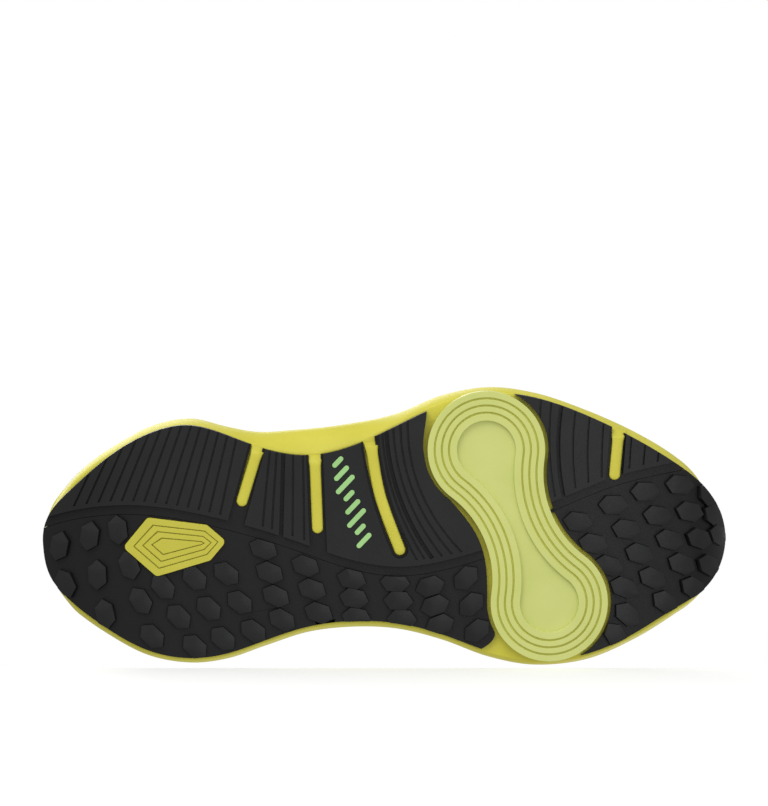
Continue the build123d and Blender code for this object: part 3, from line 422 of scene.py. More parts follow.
markLook = {
    "dark": (0.340, 0.640, 0.220), "light": (0.400, 0.700, 0.260), "mottleScale": 80.0,
    "grainScale": 1600.0, "grainDepth": 0.00002, "gloss": (0.4, 0.5),
}
rubber = mouldedMaterial("treadRubber", rubberLook)
foam = mouldedMaterial("midsoleFoam", foamLook)
podPlastic = mouldedMaterial("podPlastic", podLook)
insertFoam = mouldedMaterial("insertFoam", insertLook)
markPrint = mouldedMaterial("markPrint", markLook)
print("sole materials ready")


# The sole's outline
# along, lateral tread edge, lateral wall, medial tread edge, medial wall, in percent of length and width
soleRows = [
    (1.4, -11.5, -12.8, 12.8, 14.2),
    (4.5, -20.0, -21.6, 21.5, 23.2),
    (9.5, -31.0, -32.8, 30.6, 32.2),
    (15.5, -40.0, -41.8, 38.6, 40.1),
    (21.5, -43.3, -45.0, 41.5, 42.9),
    (27.0, -39.8, -42.1, 39.9, 41.4),
    (32.5, -34.8, -39.6, 35.2, 36.7),
    (38.8, -32.4, -40.2, 30.1, 31.6),
    (45.5, -36.0, -42.4, 28.0, 29.7),
    (52.0, -43.4, -46.0, 28.9, 30.4),
    (58.5, -50.9, -52.8, 33.0, 34.4),
    (65.3, -54.9, -56.5, 39.2, 40.6),
    (72.0, -53.2, -54.8, 42.2, 43.5),
    (79.5, -46.6, -48.4, 40.0, 41.5),
    (86.5, -38.0, -40.4, 32.6, 34.2),
    (92.5, -28.8, -31.2, 23.7, 25.2),
    (97.0, -19.2, -20.6, 16.4, 17.4),
]
midsole = {
    "perSpan": 10,
    "heelTip": 0.6,         # ends of the outline, along the centre line
    "toeTip": 299.7,
    "bottomLift": 6.0,      # foam bottom above the ground line
    "bottomColumns": 6,
    "cupDepth": 8.0,
    # how deep the foot sits in the foam along the shoe, as a share of cupDepth
    "cupX": [-9, 15, 60, 120, 180, 234, 276, 306],
    "cupShare": [1.5, 1.3, 1.0, 0.75, 0.7, 0.8, 0.9, 1.0],
    "standBack": (1.9, 1.2),          # the wall's lower and upper half, at the heel and the toe tip
    "lateralBack": (1.4, 1.7),        # the lateral wall, at the heel and ahead of the waist
    # outside profile: height share, share from tread edge to wall, distance outwards
    "profile": [
        (0.0, 0.0, -5.0), (0.0, 0.0, 0.2), (0.006, 0.0, 0.8), (0.03, 0.06, 1.25), (0.07, 0.2, 1.5),
        (0.16, 0.55, 1.5), (0.27, 0.88, 1.4), (0.36, 1.0, 1.3), (0.40, 1.0, 1.15), (0.415, 1.0, 0.5),
        (0.43, 1.0, 0.35), (0.445, 1.0, 0.5), (0.46, 1.0, 1.1), (0.52, 1.0, 1.2), (0.62, 1.0, 0.9),
        (0.70, 0.98, 0.5), (0.715, 0.98, -0.1), (0.73, 0.97, -0.25), (0.745, 0.97, -0.1),
        (0.76, 0.96, 0.4), (0.84, 0.94, -0.1), (0.91, 0.92, -0.8), (0.955, 0.9, -1.5),
        (0.985, 0.88, -2.5), (1.0, 0.86, -3.8),
    ],
}


def soleOutline(column):
    # closed outline with its outward normals: column 0 is the tread's edge, column 1 the wall
    lateral = fromPercent([(row[0], row[1 + column]) for row in soleRows])
    medial = fromPercent([(row[0], row[3 + column]) for row in soleRows])
    tips = [(midsole["heelTip"], 0.0), (midsole["toeTip"], 0.0)]
    points = splineThrough([tips[0], *lateral, tips[1], *medial[::-1]], midsole["perSpan"], True)
    tangent = np.roll(points, -1, 0) - np.roll(points, 1, 0)
    tangent /= np.linalg.norm(tangent, axis=1)[:, None]
    normals = np.stack([tangent[:, 1], -tangent[:, 0]], 1)
    return points, normals


# The foot's form, on which the whole upper lies
# along in percent, centre across in percent, half width in mm, rise as a share of the instep's
formRows = [
    (1.6, -0.6, 9.0, 1.55), (3.6, -0.6, 21.6, 1.66), (6.5, -0.7, 30.0, 1.69), (11.0, -0.8, 36.0, 1.70),
    (17.5, -1.2, 39.6, 1.70), (25.0, -2.0, 39.6, 1.60), (31.0, -3.2, 38.4, 1.33), (37.0, -4.8, 38.0, 1.0),
    (45.0, -6.6, 40.2, 0.76), (53.0, -7.8, 44.8, 0.56), (61.0, -8.0, 50.0, 0.39), (69.0, -7.2, 52.6, 0.24),
    (77.0, -5.8, 50.6, 0.11), (84.5, -4.0, 43.8, -0.03), (90.5, -2.4, 34.0, -0.19), (94.4, -1.4, 23.8, -0.36),
    (96.9, -0.8, 10.5, -0.57),
]
form = {
    "toeBox": 31.0, "instep": 104.0, "instepAt": 37.0, "power": 2.05,
    "heelEnd": 5.4, "toeEnd": 291.6,
    "heelArc": 52.5, "heelHalf": 39.6,                   # where the round heel starts, half width there
    "toeArc": 271.5, "toeCentre": 247.0, "toeHalf": 34.0, "toePower": 2.2,
    "slowEnds": 0.82,         # how much closer stations stand at both ends
    "ankleNarrow": 0.10,      # how much the sides lean in towards the collar
    "heelHollow": 3.2,        # how far the heel's back leans forward above its bulge
    "waistBulge": 4.2,        # how far the quarters swell out over the narrow waist
}


def naturalSpline(knots, values):
    # cubic spline with free ends, as a function of one number
    knots, values = np.asarray(knots, float), np.asarray(values, float)
    n = len(knots)
    h = np.diff(knots)
    system, right = np.eye(n), np.zeros(n)
    for i in range(1, n - 1):
        system[i, i - 1:i + 2] = h[i - 1], 2 * (h[i - 1] + h[i]), h[i]
        right[i] = 6 * ((values[i + 1] - values[i]) / h[i] - (values[i] - values[i - 1]) / h[i - 1])
    bend = np.linalg.solve(system, right)

    def at(x):
        i = min(max(int(np.searchsorted(knots, x)) - 1, 0), n - 2)
        a, b = (knots[i + 1] - x) / h[i], (x - knots[i]) / h[i]
        curve = ((a**3 - a) * bend[i] + (b**3 - b) * bend[i + 1]) * h[i] ** 2 / 6
        return a * values[i] + b * values[i + 1] + curve

    return at


formX, formCentre = fromPercent([row[:2] for row in formRows]).T
centreAt = naturalSpline(formX, formCentre)
halfAtRows = naturalSpline(formX, [row[2] for row in formRows])
riseAt = naturalSpline(formX, [row[3] for row in formRows])


def halfWidth(x):
    # half width of the form; round at the heel and at the toe
    if x < form["heelArc"]:
        u = min((form["heelArc"] - x) / (form["heelArc"] - form["heelEnd"]), 1.0)
        return form["heelHalf"] * (1 - u ** form["power"]) ** (1 / form["power"])
    if x > form["toeArc"]:
        power = form["toePower"]
        span = form["toeEnd"] - form["toeCentre"]
        u = min((x - form["toeCentre"]) / span, 1.0)
        start = (form["toeArc"] - form["toeCentre"]) / span
        return form["toeHalf"] * ((1 - u**power) / (1 - start**power)) ** (1 / power)
    return halfAtRows(x)


def ridgeHeight(x):
    x = min(max(x, formX[0]), formX[-1] + 1.0)
    instepLow = bedHeight(form["instepAt"] * place["length"] / 100) + form["toeBox"]
    return bedHeight(x) + form["toeBox"] + (form["instep"] - instepLow) * riseAt(x)


def stationX(t):
    # distance from the heel for t from 0 to 1, slow at both ends so that the round ends stay even
    span = form["toeEnd"] - form["heelEnd"]
    return form["heelEnd"] + span * (t - math.sin(2 * math.pi * t) / (2 * math.pi) * form["slowEnds"])


stationShares = np.linspace(0, 1, 4001)
stationTable = np.array([stationX(t) for t in stationShares])


def stationOf(x):
    # the inverse of stationX
    return float(np.interp(x, stationTable, stationShares))


def awayFromZero(s):
    # a station just beside the heel's middle, where the two sides meet
    return s if abs(s) > 1e-6 else 1e-6


def formPoint(s, angle):
    # s runs from -1 (toe, lateral side) over 0 (heel) to 1 (toe, medial side)
    # angle runs from 0 (floor) to pi/2 (ridge)
    side = -1.0 if s < 0 else 1.0
    x = stationX(min(abs(s), 1.0))
    bed, top = bedHeight(x), ridgeHeight(x)
    y = halfWidth(x) * max(math.cos(angle), 0.0) ** (2 / form["power"])
    z = bed + (top - bed) * max(math.sin(angle), 0.0) ** (2 / form["power"])
    lean = form["ankleNarrow"] * smooth(z, 52, 104) * (1 - smooth(x, 60, 118))
    tuck = 0.05 * (1 - smooth(z, bed - 2, bed + 16))
    y *= 1 - lean - tuck
    belt = smooth(z, bed + 4, bed + 15) * (1 - smooth(z, bed + 22, bed + 44))
    y += side * form["waistBulge"] * math.exp(-(((x - 130) / 30) ** 2)) * belt
    hollow = form["heelHollow"] * smooth(z, 52, 84) * (1 - 0.9 * smooth(z, 88, 104)) * (1 - smooth(x, 4, 60))
    belly = 1.1 * math.exp(-(((z - 50) / 13) ** 2)) * (1 - smooth(x, 4, 50))
    return np.array([x + hollow - belly, centreAt(x) + side * y, z])


def formNormal(s, angle):
    stepS, stepA = 0.0015, 0.004
    sideA, sideB = formPoint(s - stepS, angle), formPoint(s + stepS, angle)
    low, high = formPoint(s, max(angle - stepA, 0.001)), formPoint(s, min(angle + stepA, math.pi / 2 - 0.001))
    along, up = sideB - sideA, high - low
    if s > 0.985 or s < -0.985:
        along = np.array([0.0, math.copysign(1.0, -s) if abs(s) > 0.998 else 0.0, 0.0]) * 1e-3 + along
    normal = np.cross(along, up)
    size = np.linalg.norm(normal)
    if size < 1e-9:
        return np.array([1.0, 0.0, 0.0])
    normal /= size
    centre = np.array([min(max(formPoint(s, angle)[0], 40.0), 250.0), 0.0, bedHeight(100) + 12])
    if np.dot(normal, formPoint(s, angle) - centre) < 0:
        normal = -normal
    return normal


def onForm(s, angle, lift=0.0):
    # a point over the form's surface, in the shoe's plan frame
    return formPoint(s, angle) + formNormal(s, angle) * lift


def angleAtHeight(x, z):
    bed, top = bedHeight(x), ridgeHeight(x)
    share = min(max((z - bed) / (top - bed), 0.0), 1.0)
    return math.asin(share ** (form["power"] / 2))


def angleAtOffset(x, across):
    # angle at which the surface is that far across from its centre line
    share = min(max(across / max(halfWidth(x), 0.01), 0.0), 1.0)
    return math.acos(share ** (form["power"] / 2))


# Collar and throat lines

collarRows = [
    (-18, 97.0), (6, 101.4), (15, 99.0), (35.1, 84.3), (54.9, 74.5), (75, 75.0), (95.1, 86.2),
    (108, 98.0), (120, 107.8), (180, 147.0),
]
collarHeight = naturalSpline([row[0] for row in collarRows], [row[1] for row in collarRows])
throat = {"back": 108.0, "front": 189.0, "backHalf": 18.0, "frontHalf": 9.5}


def throatHalf(x):
    # half width of the throat opening; 0 ahead of its round front end
    t = min(max((x - throat["back"]) / (throat["front"] - throat["back"]), -0.3), 1.0)
    half = throat["backHalf"] + (throat["frontHalf"] - throat["backHalf"]) * t
    if x > throat["front"]:
        reach = (x - throat["front"]) / (throat["frontHalf"] * 0.8)
        half *= math.sqrt(max(1 - reach**2, 0.0))
    return half


def topAngle(x):
    # where the upper's shell ends: at the collar, at the throat or over the ridge
    angle = math.pi / 2
    if x < 118:
        height = collarHeight(x)
        if height < ridgeHeight(x):
            angle = angleAtHeight(x, height)
    if x > 88 and throatHalf(x) > 0:
        angle = min(angle, angleAtOffset(x, throatHalf(x)))
    return angle


# Midsole

def midsoleRow(i, tread, wall, out):
    # the foam's section at one point of the outline: up the outside, over the edge and down inside
    x = tread[i][0]
    lateral = 0 < i <= len(tread) // 2
    low = groundHeight(x) + midsole["bottomLift"]
    high = bedHeight(min(x, 291)) + midsole["cupDepth"] * np.interp(x, midsole["cupX"], midsole["cupShare"])
    stand = smooth(x, 4, 17) * (1 - smooth(x, 279, 291))
    heelBack, frontBack = midsole["lateralBack"]
    sideBack = heelBack * smooth(x, 15, 40) * (1 - smooth(x, 85, 110)) + frontBack * smooth(x, 165, 215)
    row = []
    for share, towards, outwards in midsole["profile"]:
        outwards = outwards - (1 - stand) * midsole["standBack"][share >= 0.5]
        if lateral:
            outwards -= sideBack
        plan = tread[i] + (wall[i] - tread[i]) * towards + out[i] * outwards
        row.append((plan[0], plan[1], low + (high - low) * share))
    along = (x - midsole["heelTip"]) / (midsole["toeTip"] - midsole["heelTip"])
    formAt = form["heelEnd"] + along * (form["toeEnd"] - form["heelEnd"])
    formAt = min(max(formAt, form["heelEnd"]), form["toeEnd"])
    side = -1 if i <= len(tread) // 2 else 1
    inner = onForm(side * stationOf(formAt), angleAtHeight(formAt, high - 0.5), 1.15)
    row.append(tuple(np.array(row[-1]) * 0.5 + np.array([inner[0], inner[1], high - 0.1]) * 0.5))
    row.append((inner[0], inner[1], high - 0.5))
    row.append((inner[0], inner[1], high - 5.5))
    return row


def midsoleBottom(rows):
    # the foam's underside, from the lateral to the medial edge
    half = len(rows) // 2
    columns = midsole["bottomColumns"]
    points = []
    for i in range(half + 1):
        left, right = np.array(rows[i][0]), np.array(rows[-i % len(rows)][0])
        points.append([left + (right - left) * k / columns for k in range(columns + 1)])
    return gridMesh("midsoleBottom", toFrame(points))


def buildMidsole():
    tread, out = soleOutline(0)
    wall = soleOutline(1)[0]
    rows = [midsoleRow(i, tread, wall, out) for i in range(len(tread))]
    body = gridMesh("midsoleBody", toFrame(rows), closeRows=True)
    joinInto(body, midsoleBottom(rows))
    return cleanMesh(body, angle=50.0)


# flex bars in percent: the straight ones from inner to outer end, the curved one by three points
flexBars = {
    "straight": [
        [(29.3, -15.8), (31.75, -35.6)], [(40.25, -6.0), (39.85, -32.6)], [(83.4, -25.3), (84.0, -41.2)],
    ],
    "curved": [(52.2, 2.0), (49.3, -18.0), (47.95, -37.4)],
    "width": 4.9,
    "face": 2.4,         # the bar's face and its root in the foam, above the ground line
    "root": 6.6,
    "edge": 0.7,
    "ramp": 3.0,         # length over which a bar's outer end sinks into the wall
    "sink": 3.9,         # how far it sinks
    "flare": 1.3,        # how much each side spreads out there
    "flareLength": 7.0,
}


def barMesh(name, line):
    # a bar with a round inner end along a plan line, its outer end run out into the wall
    half, edge, face, root = (flexBars[key] for key in ("width", "edge", "face", "root"))
    half /= 2
    line = np.asarray(line, float)
    along = unitAlong(line)
    across = np.stack([-along[:, 1], along[:, 0]], 1)
    run = pathLength(line)
    fromEnd = np.array([max((value - run[-1]) / flexBars["flareLength"] + 1, 0.0) for value in run])
    spread = flexBars["flare"] * fromEnd**2.5
    sink = [flexBars["sink"] * smooth(value, run[-1] - flexBars["ramp"], run[-1]) for value in run]
    turn = math.atan2(across[0][1], across[0][0])
    capTurns = [turn + a for a in np.linspace(0, math.pi, 13)[1:-1]]
    rows = []
    for shrink, lift in ((0.0, root), (0.0, face + edge), (edge * 0.3, face + edge * 0.3), (edge, face)):
        wide = (half - shrink + spread)[:, None]
        cap = [line[0] + (half - shrink) * np.array([math.cos(a), math.sin(a)]) for a in capTurns]
        outline = [*(line + across * wide)[::-1], *cap, *(line - across * wide)]
        sunk = [*sink[::-1], *([0.0] * len(cap)), *sink]
        lifts = [max(lift, min(lift + down, root)) for down in sunk]
        rows.append([(x, y, groundHeight(x) + z) for (x, y), z in zip(outline, lifts)])
    bar = gridMesh(name, toFrame(rows), closeColumns=True)
    count, size = len(line), len(rows[0])
    base = 3 * size
    loops = [[base + k for k in (i, i + 1, size - 2 - i, size - 1 - i)] for i in range(count - 1)]
    loops.append(range(base + count - 1, base + size - count + 1))
    return addFaces(bar, loops, turn=False)


def buildBars(body):
    for i, ends in enumerate(flexBars["straight"]):
        a, b = fromPercent(ends)
        joinInto(body, barMesh(f"bar{i}", [a + (b - a) * t for t in np.linspace(0, 1, 21)]))
    curve = splineThrough(fromPercent(flexBars["curved"]), 12)
    joinInto(body, barMesh("barCurved", curve))
    return body


midsoleBody = buildMidsole()
buildBars(midsoleBody)
cleanMesh(midsoleBody, angle=50.0)
finishPiece(midsoleBody, "shoe", "foam_yellow", foam, ["midsole"])
print("midsole ready")


# Tread, pod and insert: their CAD shapes with rounded edges

treadPieces = {
    "treadHeelLateral": ("outsole_lateral", "rubber_black", rubber, 0.00022),
    "treadHeelMedial": ("outsole_medial", "rubber_black", rubber, 0.00026),
    "treadToeLateral": ("outsole_toe_lateral", "rubber_black", rubber, 0.00022),
    "treadToeMedial": ("outsole_toe", "rubber_black", rubber, 0.00026),
    "podShell": ("forefoot_pod", "pod_green", podPlastic, 0.00030),
    "heelInsertBlock": ("heel_insert", "insert_yellow", insertFoam, 0.00025),
    "archStrokes": ("arch_mark", "mark_green", markPrint, 0.00020),
}
# the seam between the two sides of the tread, in percent
seams = {
    "treadHeelMedial": [
        (0.3, -4.6), (6.5, -9.5), (13, -10.8), (25, -6.5), (37, 2.2), (45, 9), (52.3, 11.6),
        (59, 9.2), (63.5, 6.0),
    ],
    "treadToeMedial": [(73.1, -10.7), (77.5, -15.3), (83.5, -21), (88.6, -24.2)],
}


seamBand = {"half": 0.9, "lift": 4.3, "thickness": 0.6}


def seamStrip(name, line):
    # a narrow band of rubber inside the seam, so that no foam shows through it
    half = seamBand["half"]
    rows = []
    for x, y in splineThrough(fromPercent(line), 8):
        low = groundHeight(x) + seamBand["lift"]
        high = low + seamBand["thickness"]
        rows.append([(x, y - half, low), (x, y + half, low), (x, y + half, high), (x, y - half, high)])
    return gridMesh(name, toFrame(rows), closeColumns=True)


for name, (node, slotName, material, rounding) in treadPieces.items():
    piece = mergedCopy(name, node)
    if name in seams:
        joinInto(piece, seamStrip(name + "Seam", seams[name]))
    bevelEdges(storeDepth(piece), rounding)
    finishPiece(piece, "shoe", slotName, material, [node])
print("tread ready")


# Cloth, film and cord materials

def clothMaterial(name, look):
    # knitted or woven cloth on the piece's own "cloth" map, in metres: open cells, crossing yarns, soft
    # sheen, with painted shade in the open cells and between the yarns
    material, tree, shader = startMaterial(name)
    uv = tree.nodes.new("ShaderNodeUVMap")
    uv.uv_map = "cloth"
    turn = tree.nodes.new("ShaderNodeMapping")
    turn.inputs["Rotation"].default_value = (0, 0, math.radians(look["turn"]))
    turn.inputs["Scale"].default_value = (1, look.get("stretch", 1.0), 1)
    tree.links.new(uv.outputs["UV"], turn.inputs["Vector"])
    cells = tree.nodes.new("ShaderNodeTexVoronoi")
    cells.inputs["Scale"].default_value = 1.0 / look["cell"]
    cells.inputs["Randomness"].default_value = look.get("uneven", 0.0)
    tree.links.new(turn.outputs["Vector"], cells.inputs["Vector"])
    hole = addRange(tree, cells.outputs["Distance"], look["hole"], look["hole"] + 0.22, 0.0, 1.0)
    waves = []
    for direction in ("X", "Y"):
        wave = tree.nodes.new("ShaderNodeTexWave")
        wave.bands_direction = direction
        wave.inputs["Scale"].default_value = 0.314 / look["yarn"]
        wave.inputs["Distortion"].default_value = 0.6
        wave.inputs["Detail Scale"].default_value = 2.0
        tree.links.new(uv.outputs["UV"], wave.inputs["Vector"])
        waves.append(wave.outputs["Fac"])
    yarn = addMath(tree, "MAXIMUM", *waves)
    body = addMath(tree, "MULTIPLY", hole, addRange(tree, yarn, 0.0, 1.0, 0.55, 1.0))
    coordinate = tree.nodes.new("ShaderNodeTexCoord").outputs["Object"]
    mottle = addRange(tree, addNoise(tree, coordinate, 70.0, 3.0), 0.3, 0.7, 0.0, 1.0)
    thread = mixColours(tree, mottle, look["dark"], look["light"])
    # painted shade: the gap colour fills the open cells and the dips between the yarns
    colour = mixColours(tree, body, look["gap"], thread)
    tree.links.new(colour, shader.inputs["Base Color"])
    shader.inputs["Roughness"].default_value = look.get("roughness", 0.82)
    shader.inputs["Specular IOR Level"].default_value = 0.25
    shader.inputs["Sheen Weight"].default_value = look.get("sheen", 0.25)
    shader.inputs["Sheen Roughness"].default_value = 0.5
    addBump(tree, shader, body, look["depth"])
    return material


def cordMaterial(name, look):
    # braided cord on its own map: slanted strands both ways
    material, tree, shader = startMaterial(name)
    uv = tree.nodes.new("ShaderNodeUVMap")
    uv.uv_map = "cloth"
    waves = []
    for turnBy in (look["slant"], -look["slant"]):
        turn = tree.nodes.new("ShaderNodeMapping")
        turn.inputs["Rotation"].default_value = (0, 0, math.radians(turnBy))
        tree.links.new(uv.outputs["UV"], turn.inputs["Vector"])
        wave = tree.nodes.new("ShaderNodeTexWave")
        wave.inputs["Scale"].default_value = 0.314 / look["strand"]
        tree.links.new(turn.outputs["Vector"], wave.inputs["Vector"])
        waves.append(wave.outputs["Fac"])
    body = addMath(tree, "MULTIPLY", *waves)
    colour = mixColours(tree, addRange(tree, body, 0.0, 0.5, 0.0, 1.0), look["dark"], look["light"])
    tree.links.new(colour, shader.inputs["Base Color"])
    shader.inputs["Roughness"].default_value = 0.7
    shader.inputs["Sheen Weight"].default_value = 0.2
    addBump(tree, shader, body, look["depth"])
    return material


# gap: painted shade in the open cells and between the yarns
meshLook = {
    "dark": (0.022, 0.023, 0.025), "light": (0.040, 0.042, 0.045), "gap": (0.006, 0.006, 0.007), "turn": 45.0,
    "cell": 0.0021, "hole": 0.16, "yarn": 0.00055, "depth": 0.00045, "sheen": 0.3,
}
liningLook = {
    "dark": (0.030, 0.031, 0.033), "light": (0.050, 0.051, 0.054), "gap": (0.012, 0.012, 0.013), "turn": 0.0,
    "cell": 0.0011, "hole": 0.10, "yarn": 0.0005, "depth": 0.0002, "sheen": 0.4,
}
tongueLook = {
    "dark": (0.026, 0.027, 0.029), "light": (0.044, 0.046, 0.048), "gap": (0.008, 0.008, 0.009), "turn": 30.0,
    "cell": 0.0016, "hole": 0.14, "yarn": 0.0005, "depth": 0.0003, "sheen": 0.35,
}
insoleLook = {
    "dark": (0.060, 0.062, 0.064), "light": (0.095, 0.097, 0.10), "gap": (0.02, 0.02, 0.021), "turn": 20.0,
    "cell": 0.0013, "hole": 0.10, "yarn": 0.0006, "depth": 0.0002, "sheen": 0.3,
}
webbingLook = {
    "dark": (0.52, 0.50, 0.06), "light": (0.66, 0.64, 0.10), "gap": (0.20, 0.19, 0.03), "turn": 0.0,
    "cell": 0.0016, "hole": 0.06, "yarn": 0.0009, "depth": 0.0003, "sheen": 0.2, "stretch": 0.5,
}
filmLook = {
    "dark": (0.0100, 0.0102, 0.0108), "light": (0.0150, 0.0152, 0.0158), "mottleScale": 50.0,
    "grainScale": 2600.0, "grainDepth": 0.00004, "gloss": (0.30, 0.42), "specular": 0.5, "coat": 0.15,
}
stripeLook = {
    "dark": (0.620, 0.570, 0.080), "light": (0.680, 0.630, 0.100), "mottleScale": 60.0,
    "grainScale": 2600.0, "grainDepth": 0.00004, "gloss": (0.32, 0.45), "specular": 0.5,
}
stiffLook = {
    "dark": (0.55, 0.55, 0.53), "light": (0.62, 0.62, 0.60), "mottleScale": 60.0,
    "grainScale": 1200.0, "grainDepth": 0.00006, "gloss": (0.6, 0.75),
}
threadLook = {
    "dark": (0.050, 0.052, 0.055), "light": (0.085, 0.088, 0.090), "mottleScale": 400.0,
    "grainScale": 5000.0, "grainDepth": 0.00002, "gloss": (0.5, 0.6),
}
brightThreadLook = {**threadLook, "dark": (0.55, 0.53, 0.08), "light": (0.66, 0.64, 0.12)}
laceLook = {
    "dark": (0.012, 0.012, 0.013), "light": (0.070, 0.072, 0.075), "slant": 32.0, "strand": 0.0011,
    "depth": 0.00025,
}

meshCloth = clothMaterial("engineeredMesh", meshLook)
liningCloth = clothMaterial("collarKnit", liningLook)
tongueCloth = clothMaterial("tongueMesh", tongueLook)
insoleCloth = clothMaterial("insoleCloth", insoleLook)
webbing = clothMaterial("tabWebbing", webbingLook)
film = mouldedMaterial("weldedFilm", filmLook)
stripeFilm = mouldedMaterial("stripeFilm", stripeLook)
stiffPlastic = mouldedMaterial("stiffener", stiffLook)
thread = mouldedMaterial("thread", threadLook)
brightThread = mouldedMaterial("brightThread", brightThreadLook)
laceBraid = cordMaterial("laceBraid", laceLook)
print("upper materials ready")


# Patches on the form

def patchMesh(name, pointAt, along, across):
    # a grid over u and v from 0 to 1, with a "cloth" map in metres measured along its own middle lines
    us, vs = np.linspace(0, 1, along), np.linspace(0, 1, across)
    rows = np.array([[pointAt(u, v) for v in vs] for u in us])
    spreadV = np.array([pathLength(row) for row in rows])
    spreadU = pathLength(rows[:, across // 2])
    uv = np.stack([np.repeat(spreadU[:, None], across, 1), spreadV], 2) / 1000
    return gridMesh(name, toFrame(rows), uv=uv)


def facesOutwards(piece):
    # turns an open patch so that its faces look away from the shoe's inside
    inside = Vector(toFrame([[150.0, -8.0, 42.0]])[0])
    score = 0.0
    for polygon in piece.data.polygons:
        nearX = min(max(polygon.center.x, inside.x - 0.1), inside.x + 0.1)
        towards = polygon.center - Vector((nearX, inside.y, inside.z))
        score += polygon.normal.dot(towards)
    if score < 0:
        piece.data.flip_normals()
    return piece


def mergePatch(piece, distance=0.00003):
    shape = bmesh.new()
    shape.from_mesh(piece.data)
    bmesh.ops.remove_doubles(shape, verts=shape.verts, dist=distance)
    bmesh.ops.dissolve_degenerate(shape, edges=shape.edges, dist=0.000005)
    shape.to_mesh(piece.data)
    shape.free()
    return piece


def overlayPiece(name, pointAt, along, across, thickness, rounding=0.0003):
    piece = facesOutwards(mergePatch(patchMesh(name, pointAt, along, across)))
    thicken(piece, thickness / 1000)
    bevelEdges(piece, rounding, 2, 50.0)
    return piece


def pickedStations():
    # stations along the upper, closer together where the throat ends round
    xs = [stationX(t) for t in np.linspace(0, 1, 211)]
    reach = throat["frontHalf"] * 0.8
    xs += [throat["front"] + reach * math.sin(k / 10 * math.pi / 2) for k in range(11)]
    xs += [104, 105, 106, 107, 108, 109, 110]
    xs = sorted(set(round(x, 3) for x in xs))
    return [stationOf(x) for x in xs]


upperShell = {"levels": 44, "thickness": 1.6}


def buildUpper():
    stations = pickedStations()
    signed = [-t for t in reversed(stations)][:-1] + stations

    def pointAt(u, v):
        s = signed[int(round(u * (len(signed) - 1)))]
        x = stationX(abs(s))
        return onForm(awayFromZero(s), topAngle(x) * v, 0.0)

    shell = facesOutwards(mergePatch(patchMesh("upperShell", pointAt, len(signed), upperShell["levels"])))
    thicken(shell, upperShell["thickness"] / 1000)
    return finishPiece(shell, "shoe", "upper_mesh", meshCloth, ["upper"])


rand = {
    "height": 13.0, "lift": 1.0, "thickness": 0.95,
    "toeRise": 3.5, "heelRise": 2.0, "wave": 0.8, "waveLength": 21.0,
}


def randTop(x):
    # height of the rand's edge above the bed: a little higher round the toe and the heel
    ends = rand["toeRise"] * smooth(x, 225, 285) + rand["heelRise"] * (1 - smooth(x, 5, 60))
    return rand["height"] + ends + rand["wave"] * math.sin(x / rand["waveLength"])


def buildRand():
    def pointAt(u, v):
        s = (-1 + 2 * u) * 0.9999
        x = stationX(abs(s))
        angle = angleAtHeight(x, bedHeight(x) + 1 + (randTop(x) - 1) * v)
        return onForm(awayFromZero(s), angle, rand["lift"] if v < 0.99 else rand["lift"] * 0.8)

    piece = overlayPiece("randStrip", pointAt, 321, 9, rand["thickness"])
    return finishPiece(piece, "shoe", "film_black", film, ["rand"])


toeCap = {"start": 262.0, "sweep": 15.0, "lift": 1.45, "thickness": 1.4}


def toeCapEdge(q):
    # where the cap starts, for q from -1 (lateral foot) over 0 (ridge) to 1 (medial foot)
    return toeCap["start"] + 4 - toeCap["sweep"] * abs(q) ** 1.6


def buildToeCap():
    def pointAt(u, v):
        q = -1 + 2 * v
        x = toeCapEdge(q) + (291.0 - toeCapEdge(q)) * u
        low = angleAtHeight(x, bedHeight(x) + 3.0)
        angle = low + (math.pi / 2 - low) * (1 - abs(q))
        side = -1 if q < 0 else 1
        fade = toeCap["lift"] * (1.0 if 0.02 < u else 0.75)
        return onForm(side * stationOf(x), angle, fade)

    piece = overlayPiece("toeCapShell", pointAt, 28, 61, toeCap["thickness"])
    return finishPiece(piece, "shoe", "film_black", film, ["toe_cap"])


heelClip = {"reach": 34.0, "top": 66.0, "drop": 17.0, "lift": 1.6, "thickness": 1.5}


def heelClipTop(q):
    return heelClip["top"] - heelClip["drop"] * abs(q) ** 2.2


def buildHeelClip():
    edge = stationOf(heelClip["reach"])

    def pointAt(u, v):
        q = -1 + 2 * u
        s = awayFromZero(q * edge)
        x = stationX(abs(s))
        low = bedHeight(x) + 4
        angle = angleAtHeight(x, low + (heelClipTop(q) - low) * v)
        ridge = 0.9 * math.exp(-(((v - 0.72) / 0.06) ** 2)) * (1 - abs(q) ** 3)
        return onForm(s, angle, heelClip["lift"] + ridge)

    piece = overlayPiece("heelClipShell", pointAt, 61, 26, heelClip["thickness"])
    return finishPiece(piece, "shoe", "film_black", film, ["heel_clip"])


eyestay = {
    "width": 14.5, "lift": 1.15, "thickness": 1.1, "back": 103.6,
    "rows": 6, "frontRow": 190.5, "backRow": 115.5, "margin": 7.0,
    "frontArc": 0.14,         # share of the edge that runs round the throat's front
    "roundness": 0.8,         # length of that round end as a share of the throat's half width
}


def throatEdge(e):
    # plan curve of the throat's edge on one side, e from 0 at the front middle to 1 at the collar
    # gives x, the distance across and the outward normal
    arc = eyestay["frontArc"]
    if e < arc:
        a = e / arc * math.pi / 2
        half = throatHalf(throat["front"])
        x = throat["front"] + half * eyestay["roundness"] * math.cos(a)
        return x, half * math.sin(a), (math.cos(a), math.sin(a))
    t = (e - arc) / (1 - arc)
    x = throat["front"] + (eyestay["back"] - throat["front"]) * t
    return x, throatHalf(x), (0.0, 1.0)


def onPlan(x, across, side, lift):
    # a point over the form at a distance across from its centre line
    return onForm(side * stationOf(x), angleAtOffset(x, across), lift)


